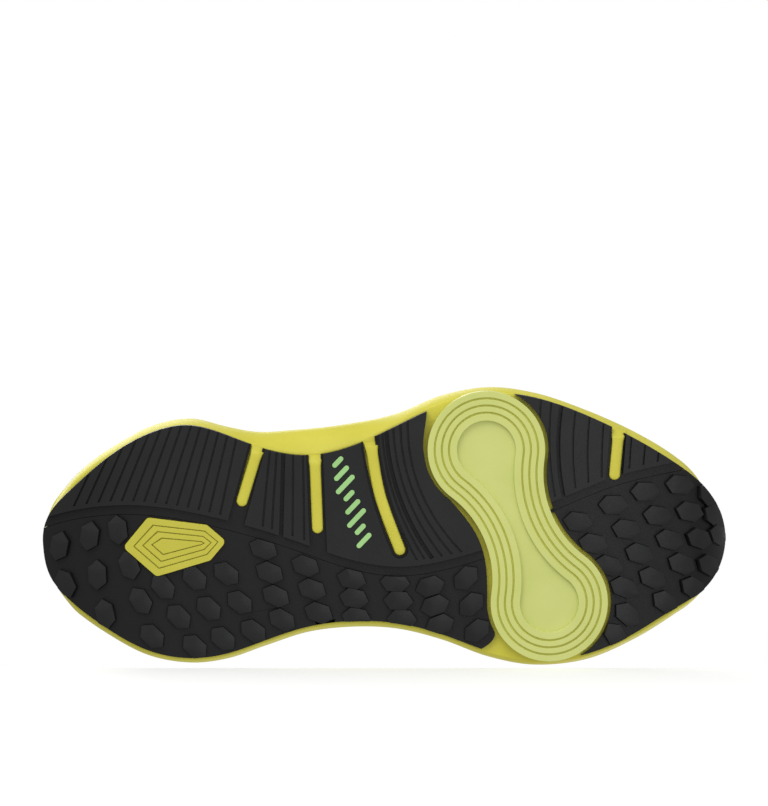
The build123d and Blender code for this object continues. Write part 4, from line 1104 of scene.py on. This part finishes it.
def eyestayWidth(e):
    # a strip that is narrower at the front
    return eyestay["width"] * (0.74 + 0.26 * smooth(e, 0.0, 0.45))


def buildEyestay(name, side, node):
    def pointAt(u, v):
        x, across, (nx, ny) = throatEdge(u)
        width = eyestayWidth(u) * v
        x, across = x + nx * width, across + ny * width
        if u > 0.93:
            x += 2.5 * v * (u - 0.93) / 0.07
        return onPlan(x, across, side, eyestay["lift"] if v < 0.99 else eyestay["lift"] * 0.75)

    piece = overlayPiece(name, pointAt, 110, 15, eyestay["thickness"])
    return finishPiece(piece, "shoe", "film_black", film, [node])


# each band: x at its foot and at its top, width at its foot and at its top
straps = {
    "lift": 0.85, "thickness": 0.8,
    "bands": [((150.0, 128.5), (17.0, 9.0)), ((118.0, 112.5), (17.0, 8.0))],
}


def buildStraps(name, side, node):
    made = None
    for (footX, topX), (footWidth, topWidth) in straps["bands"]:
        def pointAt(u, v):
            low = bedHeight(footX) + 8
            topAcross = throatHalf(topX) + eyestay["width"] - 2
            high = formPoint(side * stationOf(topX), angleAtOffset(topX, topAcross))[2]
            middle = footX + (topX - footX) * (u**0.9)
            width = footWidth + (topWidth - footWidth) * u
            x = middle + width * (v - 0.5)
            z = low + (high - low) * u
            return onForm(side * stationOf(x), angleAtHeight(x, z), straps["lift"])

        band = overlayPiece(name if made is None else name + "Second", pointAt, 30, 9, straps["thickness"])
        if made is None:
            made = band
        else:
            applyModifiers(band)
            applyModifiers(made)
            joinInto(made, band)
    return finishPiece(made, "shoe", "film_yellow", stripeFilm, [node])


buildUpper()
buildRand()
buildToeCap()
buildHeelClip()
buildEyestay("eyestayLateral", -1, "eyestay_lateral")
buildEyestay("eyestayMedial", 1, "eyestay_medial")
buildStraps("strapsLateral", -1, "quarter_strap_lateral")
buildStraps("strapsMedial", 1, "quarter_strap_medial")
print("shell and overlays ready")


# Inside: collar, counter, puff, insole, board

collar = {"front": 99.0, "roll": 3.2, "puff": 1.6, "fill": 0.55, "stations": 121}


def collarProfile(x):
    # inset and height round the padding: outer wall, rolled edge, down to the insole and back
    top = collarHeight(x)
    full = smooth(x, 6, 34) * (1 - 0.75 * smooth(x, 84, 99))
    roll, puff = collar["roll"] * full + 0.2, collar["puff"] * full * smooth(x, 10, 40)
    floor = bedHeight(x) + 6.3
    tall = top - floor
    return [
        (1.8, top - 12), (1.8, top - 0.6), (1.2, top + roll * 0.25), (1.7, top + roll * 0.7),
        (3.2, top + roll), (4.8, top + roll * 0.98), (6.4, top + roll * 0.6), (7.3, top - 0.8),
        (7.7 + puff * 0.7, top - tall * 0.10), (7.9 + puff, top - tall * 0.2),
        (7.6 + puff * 0.8, top - tall * 0.32), (7.2, top - tall * 0.44), (6.9, top - tall * 0.5),
        (7.2, top - tall * 0.56), (7.3, top - tall * 0.75), (7.3, floor + 1.5), (7.0, floor),
        (5.4, floor), (4.6, floor + 4), (3.9, top - tall * 0.5), (3.4, top - 14),
    ]


def buildCollar():
    edge = stationOf(collar["front"])
    rows = []
    for share in np.linspace(-1, 1, collar["stations"]):
        s = awayFromZero(edge * share)
        x = stationX(abs(s))
        ring = splineThrough(collarProfile(x), 3, True)
        rows.append([onForm(s, angleAtHeight(x, height), -inset) for inset, height in ring])
    rows = np.array(rows)
    count, size = rows.shape[:2]
    lengthV = np.array([pathLength(row) for row in rows])
    lengthU = pathLength(rows[:, 10])
    uv = np.stack([np.repeat(lengthU[:, None], size, 1), lengthV], 2) / 1000
    piece = gridMesh("collarPadding", toFrame(rows), closeColumns=True, uv=uv)
    addFaces(piece, [range(size), reversed(range((count - 1) * size, count * size))])
    finishPiece(piece, "shoe", "lining_cloth", liningCloth, ["collar_foam", "collar_lining"])
    return piece


def buildStiffeners():
    edge = stationOf(72.0)

    def counterAt(u, v):
        s = awayFromZero(edge * (-1 + 2 * u))
        x = stationX(abs(s))
        low = bedHeight(x) + 7
        return onForm(s, angleAtHeight(x, low + (66 - 8 * abs(-1 + 2 * u) ** 2 - low) * v), -1.8)

    def puffAt(u, v):
        q = -1 + 2 * v
        x = 259.0 + (289.0 - 259.0) * u
        low = angleAtHeight(x, bedHeight(x) + 7)
        return onForm((-1 if q < 0 else 1) * stationOf(x), low + (math.pi / 2 - low) * (1 - abs(q)), -1.8)

    counter = overlayPiece("counterShell", counterAt, 61, 12, 1.3)
    finishPiece(counter, "shoe", "stiff_plastic", stiffPlastic, ["heel_counter"])
    puff = overlayPiece("puffShell", puffAt, 20, 41, 1.1)
    finishPiece(puff, "shoe", "stiff_plastic", stiffPlastic, ["toe_puff"])


insole = {"gap": 7.4, "top": 5.9, "bottom": 1.5, "cup": 3.0}


def buildInsole():
    # a footbed that cups the heel a little, domed over the arch
    def pointAt(u, v):
        x = 13.5 + (286.0 - 13.5) * (0.5 - 0.5 * math.cos(math.pi * u))
        q = -1 + 2 * v
        gap = insole["gap"] + (2.1 - insole["gap"]) * smooth(x, 92, 112)
        half = max(halfWidth(x) * 0.95 - gap, 0.5)
        cup = insole["cup"] * abs(q) ** 4 * (1 - smooth(x, 60, 130))
        arch = 2.2 * math.exp(-(((x - 118) / 34) ** 2)) * smooth(q, 0.2, 1.0)
        return np.array([x, centreAt(x) + q * half, bedHeight(min(x, 289)) + insole["top"] + cup + arch])

    piece = facesOutwards(patchMesh("insoleBed", pointAt, 90, 31))
    thicken(piece, (insole["top"] - insole["bottom"]) / 1000)
    finishPiece(piece, "shoe", "insole_foam", insoleCloth, ["insole"])
    return piece


buildCollar()
buildStiffeners()
buildInsole()
nodes["strobel_board"].data.materials.clear()
nodes["strobel_board"].data.materials.append(stiffPlastic)
print("inside ready")


# Tongue

tongue = {
    "front": 201.0, "top": 82.6, "corner": 9.0, "wide": 9.0, "narrow": 4.6, "hinge": 104.1,
    "inset": 5.3, "thickness": 4.5, "fill": 0.5,
}


def tongueHalf(x):
    free = throatHalf(108.0) + tongue["narrow"]
    half = free + (throatHalf(min(x, throat["front"])) + tongue["wide"] - free) * smooth(x, 102.0, 112.0)
    if x < tongue["top"] + tongue["corner"]:
        reach = min((tongue["top"] + tongue["corner"] - x) / tongue["corner"], 1.0)
        half = half - tongue["corner"] + tongue["corner"] * math.sqrt(max(1 - reach**2, 0.0))
    return half


def buildTongue():
    xs = [tongue["top"] + tongue["corner"] * (1 - math.cos(a)) for a in np.linspace(0, math.pi / 2, 9)]
    xs += list(np.linspace(tongue["top"] + tongue["corner"], tongue["front"], 71)[1:])
    columns = 23
    rows, uv = [], []
    run = 0.0
    for i, x in enumerate(xs):
        half = tongueHalf(x)
        endThin = smooth(x, tongue["top"] - 0.5, tongue["top"] + 4.0) * 0.85 + 0.15
        outer, inner = [], []
        for q in np.linspace(-1, 1, columns):
            edge = 1 - (1 - abs(q) ** 7) ** 0.5
            quilt = abs(math.sin((x - 82) / 9.5 * math.pi)) ** 0.5
            free = 1 - smooth(x, 98, 112)
            puff = (1.5 * free * (0.35 + 0.65 * quilt) + 0.5 * (1 - free)) * (1 - abs(q) ** 5) * endThin
            thick = tongue["thickness"] * endThin
            middle = tongue["inset"] + tongue["thickness"] / 2
            side = -1 if q < 0 else 1
            across = abs(q) * half
            outer.append(onPlan(x, across, side, -(middle - thick / 2 * (1 - edge * 0.9)) + puff))
            inner.append(onPlan(x, across, side, -(middle + thick / 2 * (1 - edge * 0.9))))
        rows.append(outer + inner[::-1])
        if i:
            run += np.linalg.norm(np.array(outer[columns // 2]) - np.array(rows[i - 1][columns // 2]))
        uv.append([(run / 1000, value / 1000) for value in pathLength(np.array(rows[-1]))])
    piece = gridMesh("tonguePad", toFrame(rows), closeColumns=True, uv=uv)
    size = 2 * columns
    loops = []
    for base in (0, (len(xs) - 1) * size):
        loops += [[base + j for j in (k, k + 1, size - 2 - k, size - 1 - k)] for k in range(columns - 1)]
    addFaces(piece, loops)
    for polygon in piece.data.polygons:
        polygon.use_smooth = True
    piece.data.materials.append(tongueCloth)
    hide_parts("tongue", "tongue_flap")
    ridge = toFrame([onPlan(108.0, 0.0, 1, -5.0), onPlan(100.0, 0.0, 1, -5.0)])
    tuple(ridge[0])
    tuple(ridge[1])
    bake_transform(piece)
    return piece


buildTongue()
print("tongue ready")


# Laces

lace = {"width": 1.75, "height": 1.35, "sides": 14, "perSpan": 7}


def eyeletPlace(row):
    # x and distance across of one row's eyelets; row 0 is the front one
    x = eyestay["frontRow"] + (eyestay["backRow"] - eyestay["frontRow"]) * row / (eyestay["rows"] - 1)
    return x, throatHalf(min(x, throat["front"])) + eyestay["margin"]


def sweepCord(name, route, ups, width, height, sides):
    # a cord with an oval section along a route; ups are the directions that its flat side faces
    along = unitAlong(route)
    across = np.cross(along, ups)
    across /= np.linalg.norm(across, axis=1)[:, None]
    up = np.cross(across, along)
    run = pathLength(route)
    rows, uv = [], []
    for i, spot in enumerate(route):
        ring, marks = [], []
        for k in range(sides):
            a = 2 * math.pi * k / sides
            ring.append(spot + across[i] * width * math.cos(a) + up[i] * height * math.sin(a))
            marks.append((run[i] / 1000, a / (2 * math.pi) * (width + height) * 3.14 / 1000))
        rows.append(ring)
        uv.append(marks)
    cord = gridMesh(name, toFrame(rows), closeColumns=True, uv=uv)
    last = (len(route) - 1) * sides
    return addFaces(cord, [reversed(range(sides)), range(last, last + sides)])


def laceSpan(row, side):
    # points and lifts of one crossing: out of an eyelet, over the tongue, under the far eyestay
    # and up into the next eyelet
    x0, a0 = eyeletPlace(row)
    x1, a1 = eyeletPlace(row + 1)
    half = throatHalf((x0 + x1) / 2)
    over = 1.7 if side > 0 else -0.9
    return [
        (x0, a0, side, -0.6), (x0 - 0.4, a0 - 0.6, side, 2.3), (x0 - 1.2, a0 - 2.6, side, 2.9),
        (x0 - 3.2, half + 0.5, side, 2.3), (x0 - 5.0, half * 0.55, side, -1.2 + (over + 0.9) * 0.5),
        (x0 - 7.5, 0.6, side, over - 1.6), (x1 + 4.8, half * 0.6, -side, -2.7),
        (x1 + 3.0, half + 0.2, -side, -3.3), (x1 + 1.0, a1 - 1.6, -side, -3.4),
        (x1, a1, -side, -2.6), (x1, a1, -side, -0.4),
    ]


def laceFront():
    x, a = eyeletPlace(0)
    return [
        (x, a, -1, 0.2), (x + 0.3, a - 0.8, -1, 2.2), (x + 0.3, a - 3.0, -1, 2.9),
        (x + 0.3, a * 0.5, -1, 0.6), (x + 0.3, 0.5, -1, -0.6), (x + 0.3, a * 0.5, 1, 0.6),
        (x + 0.3, a - 3.0, 1, 2.9), (x + 0.3, a - 0.8, 1, 2.2), (x, a, 1, 0.2),
    ]


def layLace(name, marks):
    route, ups = [], []
    for x, across, side, lift in marks:
        route.append(onPlan(x, across, side, lift))
        ups.append(onPlan(x, across, side, lift + 1) - route[-1])
    route, ups = (splineThrough(points, lace["perSpan"]) for points in (route, ups))
    return sweepCord(name, route, ups, lace["width"], lace["height"], lace["sides"])


def buildLace():
    whole = layLace("laceCord", laceFront())
    for row in range(eyestay["rows"] - 1):
        for side in (-1, 1):
            joinInto(whole, layLace(f"crossing{row}{side}", laceSpan(row, side)))
    return finishPiece(whole, "shoe", "lace_cord", laceBraid, ["lace"])


eyeletRings = {
    # radius and lift over the form, from the hole over the rim and down outside
    "section": [(2.0, 0.0), (2.05, 1.3), (2.3, 1.62), (2.8, 1.7), (3.2, 1.55), (3.4, 1.1), (3.4, 0.6)],
    "corners": 28,
}


def eyeletRing(name, row, side):
    x, across = eyeletPlace(row)
    centre = onPlan(x, across, side, 0.0)
    normal = onPlan(x, across, side, 1.0) - centre
    normal /= np.linalg.norm(normal)
    first = np.cross(normal, [1.0, 0.0, 0.0])
    first /= np.linalg.norm(first)
    second = np.cross(normal, first)
    turns = np.linspace(0, 2 * math.pi, eyeletRings["corners"] + 1)[:-1]
    circle = np.array([first * math.cos(a) + second * math.sin(a) for a in turns])
    rows = [centre + normal * lift + radius * circle for radius, lift in eyeletRings["section"]]
    return gridMesh(name, toFrame(rows), closeColumns=True)


def buildEyelets():
    # punched rings let into the eyestays
    made = None
    for row in range(eyestay["rows"]):
        for side in (-1, 1):
            part = eyeletRing("ring" if made else "eyeletRings", row, side)
            made = joinInto(made, part) if made else part
    cleanMesh(made, angle=60.0)
    return finishPiece(made, "shoe", "film_black", film)


buildLace()
buildEyelets()
print("laces ready")


# Heel pull tab

pullTab = {"width": 12.6, "thickness": 1.5, "gap": 4.0, "height": 24.0, "base": 5.0}


def stripAlong(name, line, width, thickness, middleY):
    # webbing along a line seen from the side, with rounded edges; the line holds x and z
    along = unitAlong(line)
    out = np.stack([along[:, 1], -along[:, 0]], 1)
    run = pathLength(line)
    half, thin = width / 2, thickness / 2
    over = [
        (-1, 0.4), (-0.965, 0.85), (-0.9, 1), (-0.5, 1), (0, 1), (0.5, 1), (0.9, 1), (0.965, 0.85), (1, 0.4),
    ]
    corner = [(-1, -0.4), *over, *[(w, -h) for w, h in reversed(over[1:])]]
    rows, uv = [], []
    for (x, z), (outX, outZ), along in zip(line, out, run):
        rows.append([(x + outX * thin * h, middleY + half * w, z + outZ * thin * h) for w, h in corner])
        uv.append([(along / 1000, half * w / 1000) for w, h in corner])
    strip = gridMesh(name, toFrame(rows), closeColumns=True, uv=uv)
    size = len(corner)
    last = (len(line) - 1) * size
    return addFaces(strip, [range(size), reversed(range(last, last + size))])


def tabPivot():
    joint = [j for j in frame["joints"] if j["name"] == "pull_tab_hinge"][0]
    x, y, z = joint["pos_m"]
    return 1000 * (x - place["heelX"]), 1000 * (y - place["midY"]), 1000 * z


def buildPullTab():
    x, y, z = tabPivot()
    thick, gap = pullTab["thickness"], pullTab["gap"]
    top = z + pullTab["height"] - gap - thick
    ring = gap + thick / 2
    base = z + pullTab["base"]
    # one leg as distance out from the middle and height; the other mirrors it
    leg = [
        (thick * 0.5, z - 0.9), (thick * 0.5, z + pullTab["base"] * 0.5), (thick * 0.55, base),
        (ring * 0.72, base + (top - base) * 0.55),
    ]
    line = [(x - out, height) for out, height in leg]
    line += [(x - ring * math.cos(a), top + ring * math.sin(a)) for a in np.linspace(0, math.pi, 7)]
    line += [(x + out, height) for out, height in reversed(leg)]
    strip = stripAlong("pullLoop", splineThrough(line, 5), pullTab["width"], thick, y)
    return finishPiece(strip, "pull_tab", "webbing", webbing, ["heel_pull_tab"])


def buildAnchor():
    # webbing that straddles the collar's back edge under the loop
    low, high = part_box("pull_tab_anchor")
    x0, x1 = (low[0] - place["heelX"]) * 1000, (high[0] - place["heelX"]) * 1000
    zTop = high[2] * 1000
    y = (low[1] + high[1]) / 2 * 1000 - place["midY"] * 1000
    outside = [onForm(1e-6, angleAtHeight(6, h), 1.0) for h in (zTop - 23, zTop - 17, zTop - 10, zTop - 5)]
    line = [(p[0], p[2]) for p in outside]
    line += [
        (x0 + 0.5, zTop - 2.2), (x0 + 2.0, zTop - 0.85), ((x0 + x1) / 2, zTop - 0.8),
        (x1 - 2.2, zTop - 0.9), (x1 + 0.2, zTop - 3.0),
    ]
    inside = [onForm(1e-6, angleAtHeight(15, h), -8.6) for h in (zTop - 9, zTop - 15)]
    line += [(p[0], p[2]) for p in inside]
    strip = stripAlong("tabAnchor", splineThrough(line, 5), pullTab["width"], pullTab["thickness"], y)
    return finishPiece(strip, "shoe", "webbing", webbing, ["pull_tab_anchor"])


buildPullTab()
buildAnchor()
print("pull tab ready")


# Stitches: short threads laid along a line by Geometry Nodes

stitch = {"length": 2.1, "pitch": 3.0, "radius": 0.24, "wander": 0.08, "seed": 11}


def stitchTool():
    # a node tree that lays one short thread at each point of a line and turns it along the line
    tree = bpy.data.node_groups.new("stitchRow", "GeometryNodeTree")
    kinds = {
        "Geometry": "NodeSocketGeometry", "Pitch": "NodeSocketFloat", "Length": "NodeSocketFloat",
        "Radius": "NodeSocketFloat", "Wander": "NodeSocketFloat", "Seed": "NodeSocketInt",
        "Thread": "NodeSocketMaterial",
    }
    for label, kind in kinds.items():
        tree.interface.new_socket(label, in_out="INPUT", socket_type=kind)
    tree.interface.new_socket("Geometry", in_out="OUTPUT", socket_type="NodeSocketGeometry")
    node, link = tree.nodes.new, tree.links.new
    start, end = node("NodeGroupInput"), node("NodeGroupOutput")
    curve = node("GeometryNodeMeshToCurve")
    link(start.outputs["Geometry"], curve.inputs[0])
    spots = node("GeometryNodeCurveToPoints")
    spots.mode = "LENGTH"
    link(curve.outputs[0], spots.inputs["Curve"])
    link(start.outputs["Pitch"], spots.inputs["Length"])
    thread = node("GeometryNodeMeshCylinder")
    thread.inputs["Vertices"].default_value = 8
    link(start.outputs["Radius"], thread.inputs["Radius"])
    link(start.outputs["Length"], thread.inputs["Depth"])
    scale = node("FunctionNodeRandomValue")
    scale.data_type = "FLOAT"
    spread = node("ShaderNodeMath")
    spread.operation = "SUBTRACT"
    spread.inputs[0].default_value = 1.0
    link(start.outputs["Wander"], spread.inputs[1])
    floats = [socket for socket in scale.inputs if socket.type == "VALUE"]
    link(spread.outputs[0], floats[0])
    floats[1].default_value = 1.0
    link(start.outputs["Seed"], scale.inputs["Seed"])
    along = node("FunctionNodeAlignEulerToVector")
    along.axis = "Z"
    link(spots.outputs["Tangent"], along.inputs["Vector"])
    placed = node("GeometryNodeInstanceOnPoints")
    link(spots.outputs["Points"], placed.inputs["Points"])
    link(thread.outputs["Mesh"], placed.inputs["Instance"])
    link(along.outputs["Rotation"], placed.inputs["Rotation"])
    link([socket for socket in scale.outputs if socket.type == "VALUE"][0], placed.inputs["Scale"])
    real = node("GeometryNodeRealizeInstances")
    link(placed.outputs["Instances"], real.inputs[0])
    rounded = node("GeometryNodeSetShadeSmooth")
    link(real.outputs[0], rounded.inputs[0])
    painted = node("GeometryNodeSetMaterial")
    link(rounded.outputs[0], painted.inputs["Geometry"])
    link(start.outputs["Thread"], painted.inputs["Material"])
    link(painted.outputs[0], end.inputs[0])
    return tree


stitchNodes = stitchTool()


def stitchRows(name, routes, material, length=stitch["length"], pitch=stitch["pitch"]):
    # routes are lists of plan-frame points in millimetres
    points, edges = [], []
    for route in routes:
        base = len(points)
        points += [tuple(p) for p in toFrame(route)]
        edges += [(base + k, base + k + 1) for k in range(len(route) - 1)]
    mesh = bpy.data.meshes.new(name)
    mesh.from_pydata(points, edges, [])
    piece = bpy.data.objects.new(name, mesh)
    bpy.context.scene.collection.objects.link(piece)
    sew = piece.modifiers.new("sew", "NODES")
    sew.node_group = stitchNodes
    values = {
        "Pitch": pitch / 1000, "Length": length / 1000,
        "Radius": stitch["radius"] / 1000, "Wander": stitch["wander"], "Seed": stitch["seed"],
        "Thread": material,
    }
    for socket in stitchNodes.interface.items_tree:
        if socket.item_type == "SOCKET" and socket.in_out == "INPUT" and socket.name in values:
            sew[socket.identifier] = values[socket.name]
    applyModifiers(piece)
    return finishPiece(piece, "shoe", None, material)


def eyestayLine(side, share):
    # a line along one eyestay at a share of its width from the throat
    found = []
    for u in np.linspace(0.0, 0.985, 120):
        x, across, (nx, ny) = throatEdge(u)
        width = eyestayWidth(u) * share
        found.append(onPlan(x + nx * width, across + ny * width, side, eyestay["lift"] + 0.15))
    return found


def toeCapLine(behind):
    # a line across the toe cap at a distance from its back edge
    found = []
    for q in np.linspace(-0.96, 0.96, 120):
        x = toeCapEdge(q) + behind
        low = angleAtHeight(x, bedHeight(x) + 3.0)
        angle = low + (math.pi / 2 - low) * (1 - abs(q))
        found.append(onForm((-1 if q < 0 else 1) * stationOf(x), angle, toeCap["lift"] + 0.12))
    return found


def collarLine(drop):
    # a line round the collar below its edge
    edge = stationOf(97.0)
    found = []
    for s in np.linspace(-edge, edge, 240):
        x = stationX(abs(s))
        found.append(onForm(awayFromZero(s), angleAtHeight(x, collarHeight(x) - drop), 0.16))
    return found


def tabBox(half):
    # a box without its top edge on the pull tab's anchor
    x, y, z = tabPivot()
    spine = [onForm(1e-6, angleAtHeight(6, h), 1.85) for h in np.linspace(z - 24, z - 12, 12)]
    sides = [[(p[0], y + offset, p[2]) for p in spine] for offset in (-half, half)]
    return [*sides, [(spine[0][0], y + offset, spine[0][2]) for offset in np.linspace(-half, half, 8)]]


def buildStitching():
    rows = [eyestayLine(side, share) for side in (-1, 1) for share in (0.13, 0.885)]
    rows += [toeCapLine(behind) for behind in (2.2, 4.6)]
    stitchRows("overlayStitches", rows, thread)
    stitchRows("collarStitches", [collarLine(8.2)], thread)
    stitchRows("tabStitches", tabBox(4.6), brightThread, length=1.7, pitch=2.4)


buildStitching()
print("stitches ready")


# Camera, lights and floors

stage = {
    "lens": 320.0,
    "viewHeight": 0.3504,        # what the picture shows from top to bottom, in metres
    "aim": (0.0004, -0.0540),    # x and y that the camera looks at, on the ground's plane
    "tilt": 3.0,                 # degrees that the camera stands off towards the lateral side
    "white": (0.93, 0.93, 0.93),
    "floorReach": 6.0,
    # name: place, target, size, power
    "lamps": {
        "keyLight": ((-0.5, -1.3, -0.9), (0, 0, 0.02), (1.1, 1.1), 12.0),
        "soleFill": ((0.5, -0.3, -1.6), (0, 0, 0.02), (1.4, 1.0), 5.0),
        "topLight": ((-0.6, -0.8, 1.7), (0, 0, 0.05), (1.2, 1.2), 16.0),
        "rimLight": ((0.8, 1.2, 1.0), (0, 0, 0.05), (0.9, 0.9), 7.0),
    },
}


def aimedAt(piece, target):
    piece.rotation_mode = "QUATERNION"
    piece.rotation_quaternion = (Vector(target) - piece.location).to_track_quat("-Z", "Y")


def buildCamera():
    lens = bpy.data.cameras.new("camera")
    lens.lens = stage["lens"]
    lens.clip_start, lens.clip_end = 0.05, 30.0
    camera = bpy.data.objects.new("camera", lens)
    bpy.context.scene.collection.objects.link(camera)
    distance = stage["viewHeight"] * stage["lens"] / lens.sensor_width
    tilt = math.radians(stage["tilt"])
    back = Vector((0.0, -math.sin(tilt), -math.cos(tilt)))
    target = Vector((*stage["aim"], 0.0))
    camera.location = target + back * distance
    forward = -back
    up = Vector((0, -1, 0))
    right = forward.cross(up).normalized()
    up = right.cross(forward)
    camera.rotation_mode = "QUATERNION"
    camera.rotation_quaternion = Matrix((right, up, back)).transposed().to_quaternion()
    bpy.context.scene.camera = camera


def areaLight(name, spot, target, size, power):
    lamp = bpy.data.lights.new(name, "AREA")
    lamp.shape = "RECTANGLE"
    lamp.size, lamp.size_y = size
    lamp.energy = power
    light = bpy.data.objects.new(name, lamp)
    bpy.context.scene.collection.objects.link(light)
    light.location = spot
    aimedAt(light, target)
    light.visible_camera = False
    return light


def buildWorld():
    world = bpy.data.worlds.new("studio")
    bpy.context.scene.world = world
    world.use_nodes = True
    tree = world.node_tree
    tree.nodes.clear()
    seen = tree.nodes.new("ShaderNodeBackground")
    seen.inputs["Strength"].default_value = 1.0
    soft = tree.nodes.new("ShaderNodeBackground")
    soft.inputs["Strength"].default_value = 0.55
    for node in (seen, soft):
        node.inputs["Color"].default_value = (1.0, 1.0, 1.0, 1.0)
    rays = tree.nodes.new("ShaderNodeLightPath")
    mix = tree.nodes.new("ShaderNodeMixShader")
    output = tree.nodes.new("ShaderNodeOutputWorld")
    tree.links.new(rays.outputs["Is Camera Ray"], mix.inputs["Fac"])
    tree.links.new(soft.outputs[0], mix.inputs[1])
    tree.links.new(seen.outputs[0], mix.inputs[2])
    tree.links.new(mix.outputs[0], output.inputs[0])


def floorMaterial(name, glow):
    # pale paper on the front side of the sheet, nothing on its back
    material = bpy.data.materials.new(name)
    material.use_nodes = True
    tree = material.node_tree
    tree.nodes.clear()
    output = tree.nodes.new("ShaderNodeOutputMaterial")
    paper = tree.nodes.new("ShaderNodeBsdfPrincipled")
    paper.inputs["Base Color"].default_value = (*stage["white"], 1.0)
    paper.inputs["Roughness"].default_value = 1.0
    paper.inputs["Specular IOR Level"].default_value = 0.0
    paper.inputs["Emission Color"].default_value = (1.0, 1.0, 1.0, 1.0)
    paper.inputs["Emission Strength"].default_value = glow
    clear = tree.nodes.new("ShaderNodeBsdfTransparent")
    mix = tree.nodes.new("ShaderNodeMixShader")
    side = tree.nodes.new("ShaderNodeNewGeometry")
    tree.links.new(side.outputs["Backfacing"], mix.inputs["Fac"])
    tree.links.new(paper.outputs[0], mix.inputs[1])
    tree.links.new(clear.outputs[0], mix.inputs[2])
    tree.links.new(mix.outputs[0], output.inputs["Surface"])
    return material


def buildFloor(name, corners, material):
    sheet = linkMesh(name, corners, [(0, 1, 2, 3)], False)
    sheet.data.materials.append(material)
    sheet.visible_shadow = False
    sheet.visible_diffuse = False
    sheet.visible_glossy = False
    sheet.visible_transmission = False
    return sheet


buildCamera()
buildWorld()
paper = floorMaterial("palePaper", 0.0)
brightPaper = floorMaterial("brightPaper", 0.22)
far = stage["floorReach"]
# the floor that the standing shoe rests on, and the one it lies against on its medial side
standZ, lieTop = -0.0002, -0.0004
square = [(-far, -far), (far, -far), (far, far), (-far, far)]
buildFloor("standingFloor", [(x, y, standZ) for x, y in square], paper)
lieY = max(vertex.co.y for vertex in midsoleBody.data.vertices) + 0.0003
buildFloor("lyingFloor", [(x, lieY, min(z, lieTop)) for x, z in square], brightPaper)
for name, (spot, target, size, power) in stage["lamps"].items():
    areaLight(name, spot, target, size, power)
bpy.context.scene.view_settings.view_transform = "Standard"
print("stage ready")
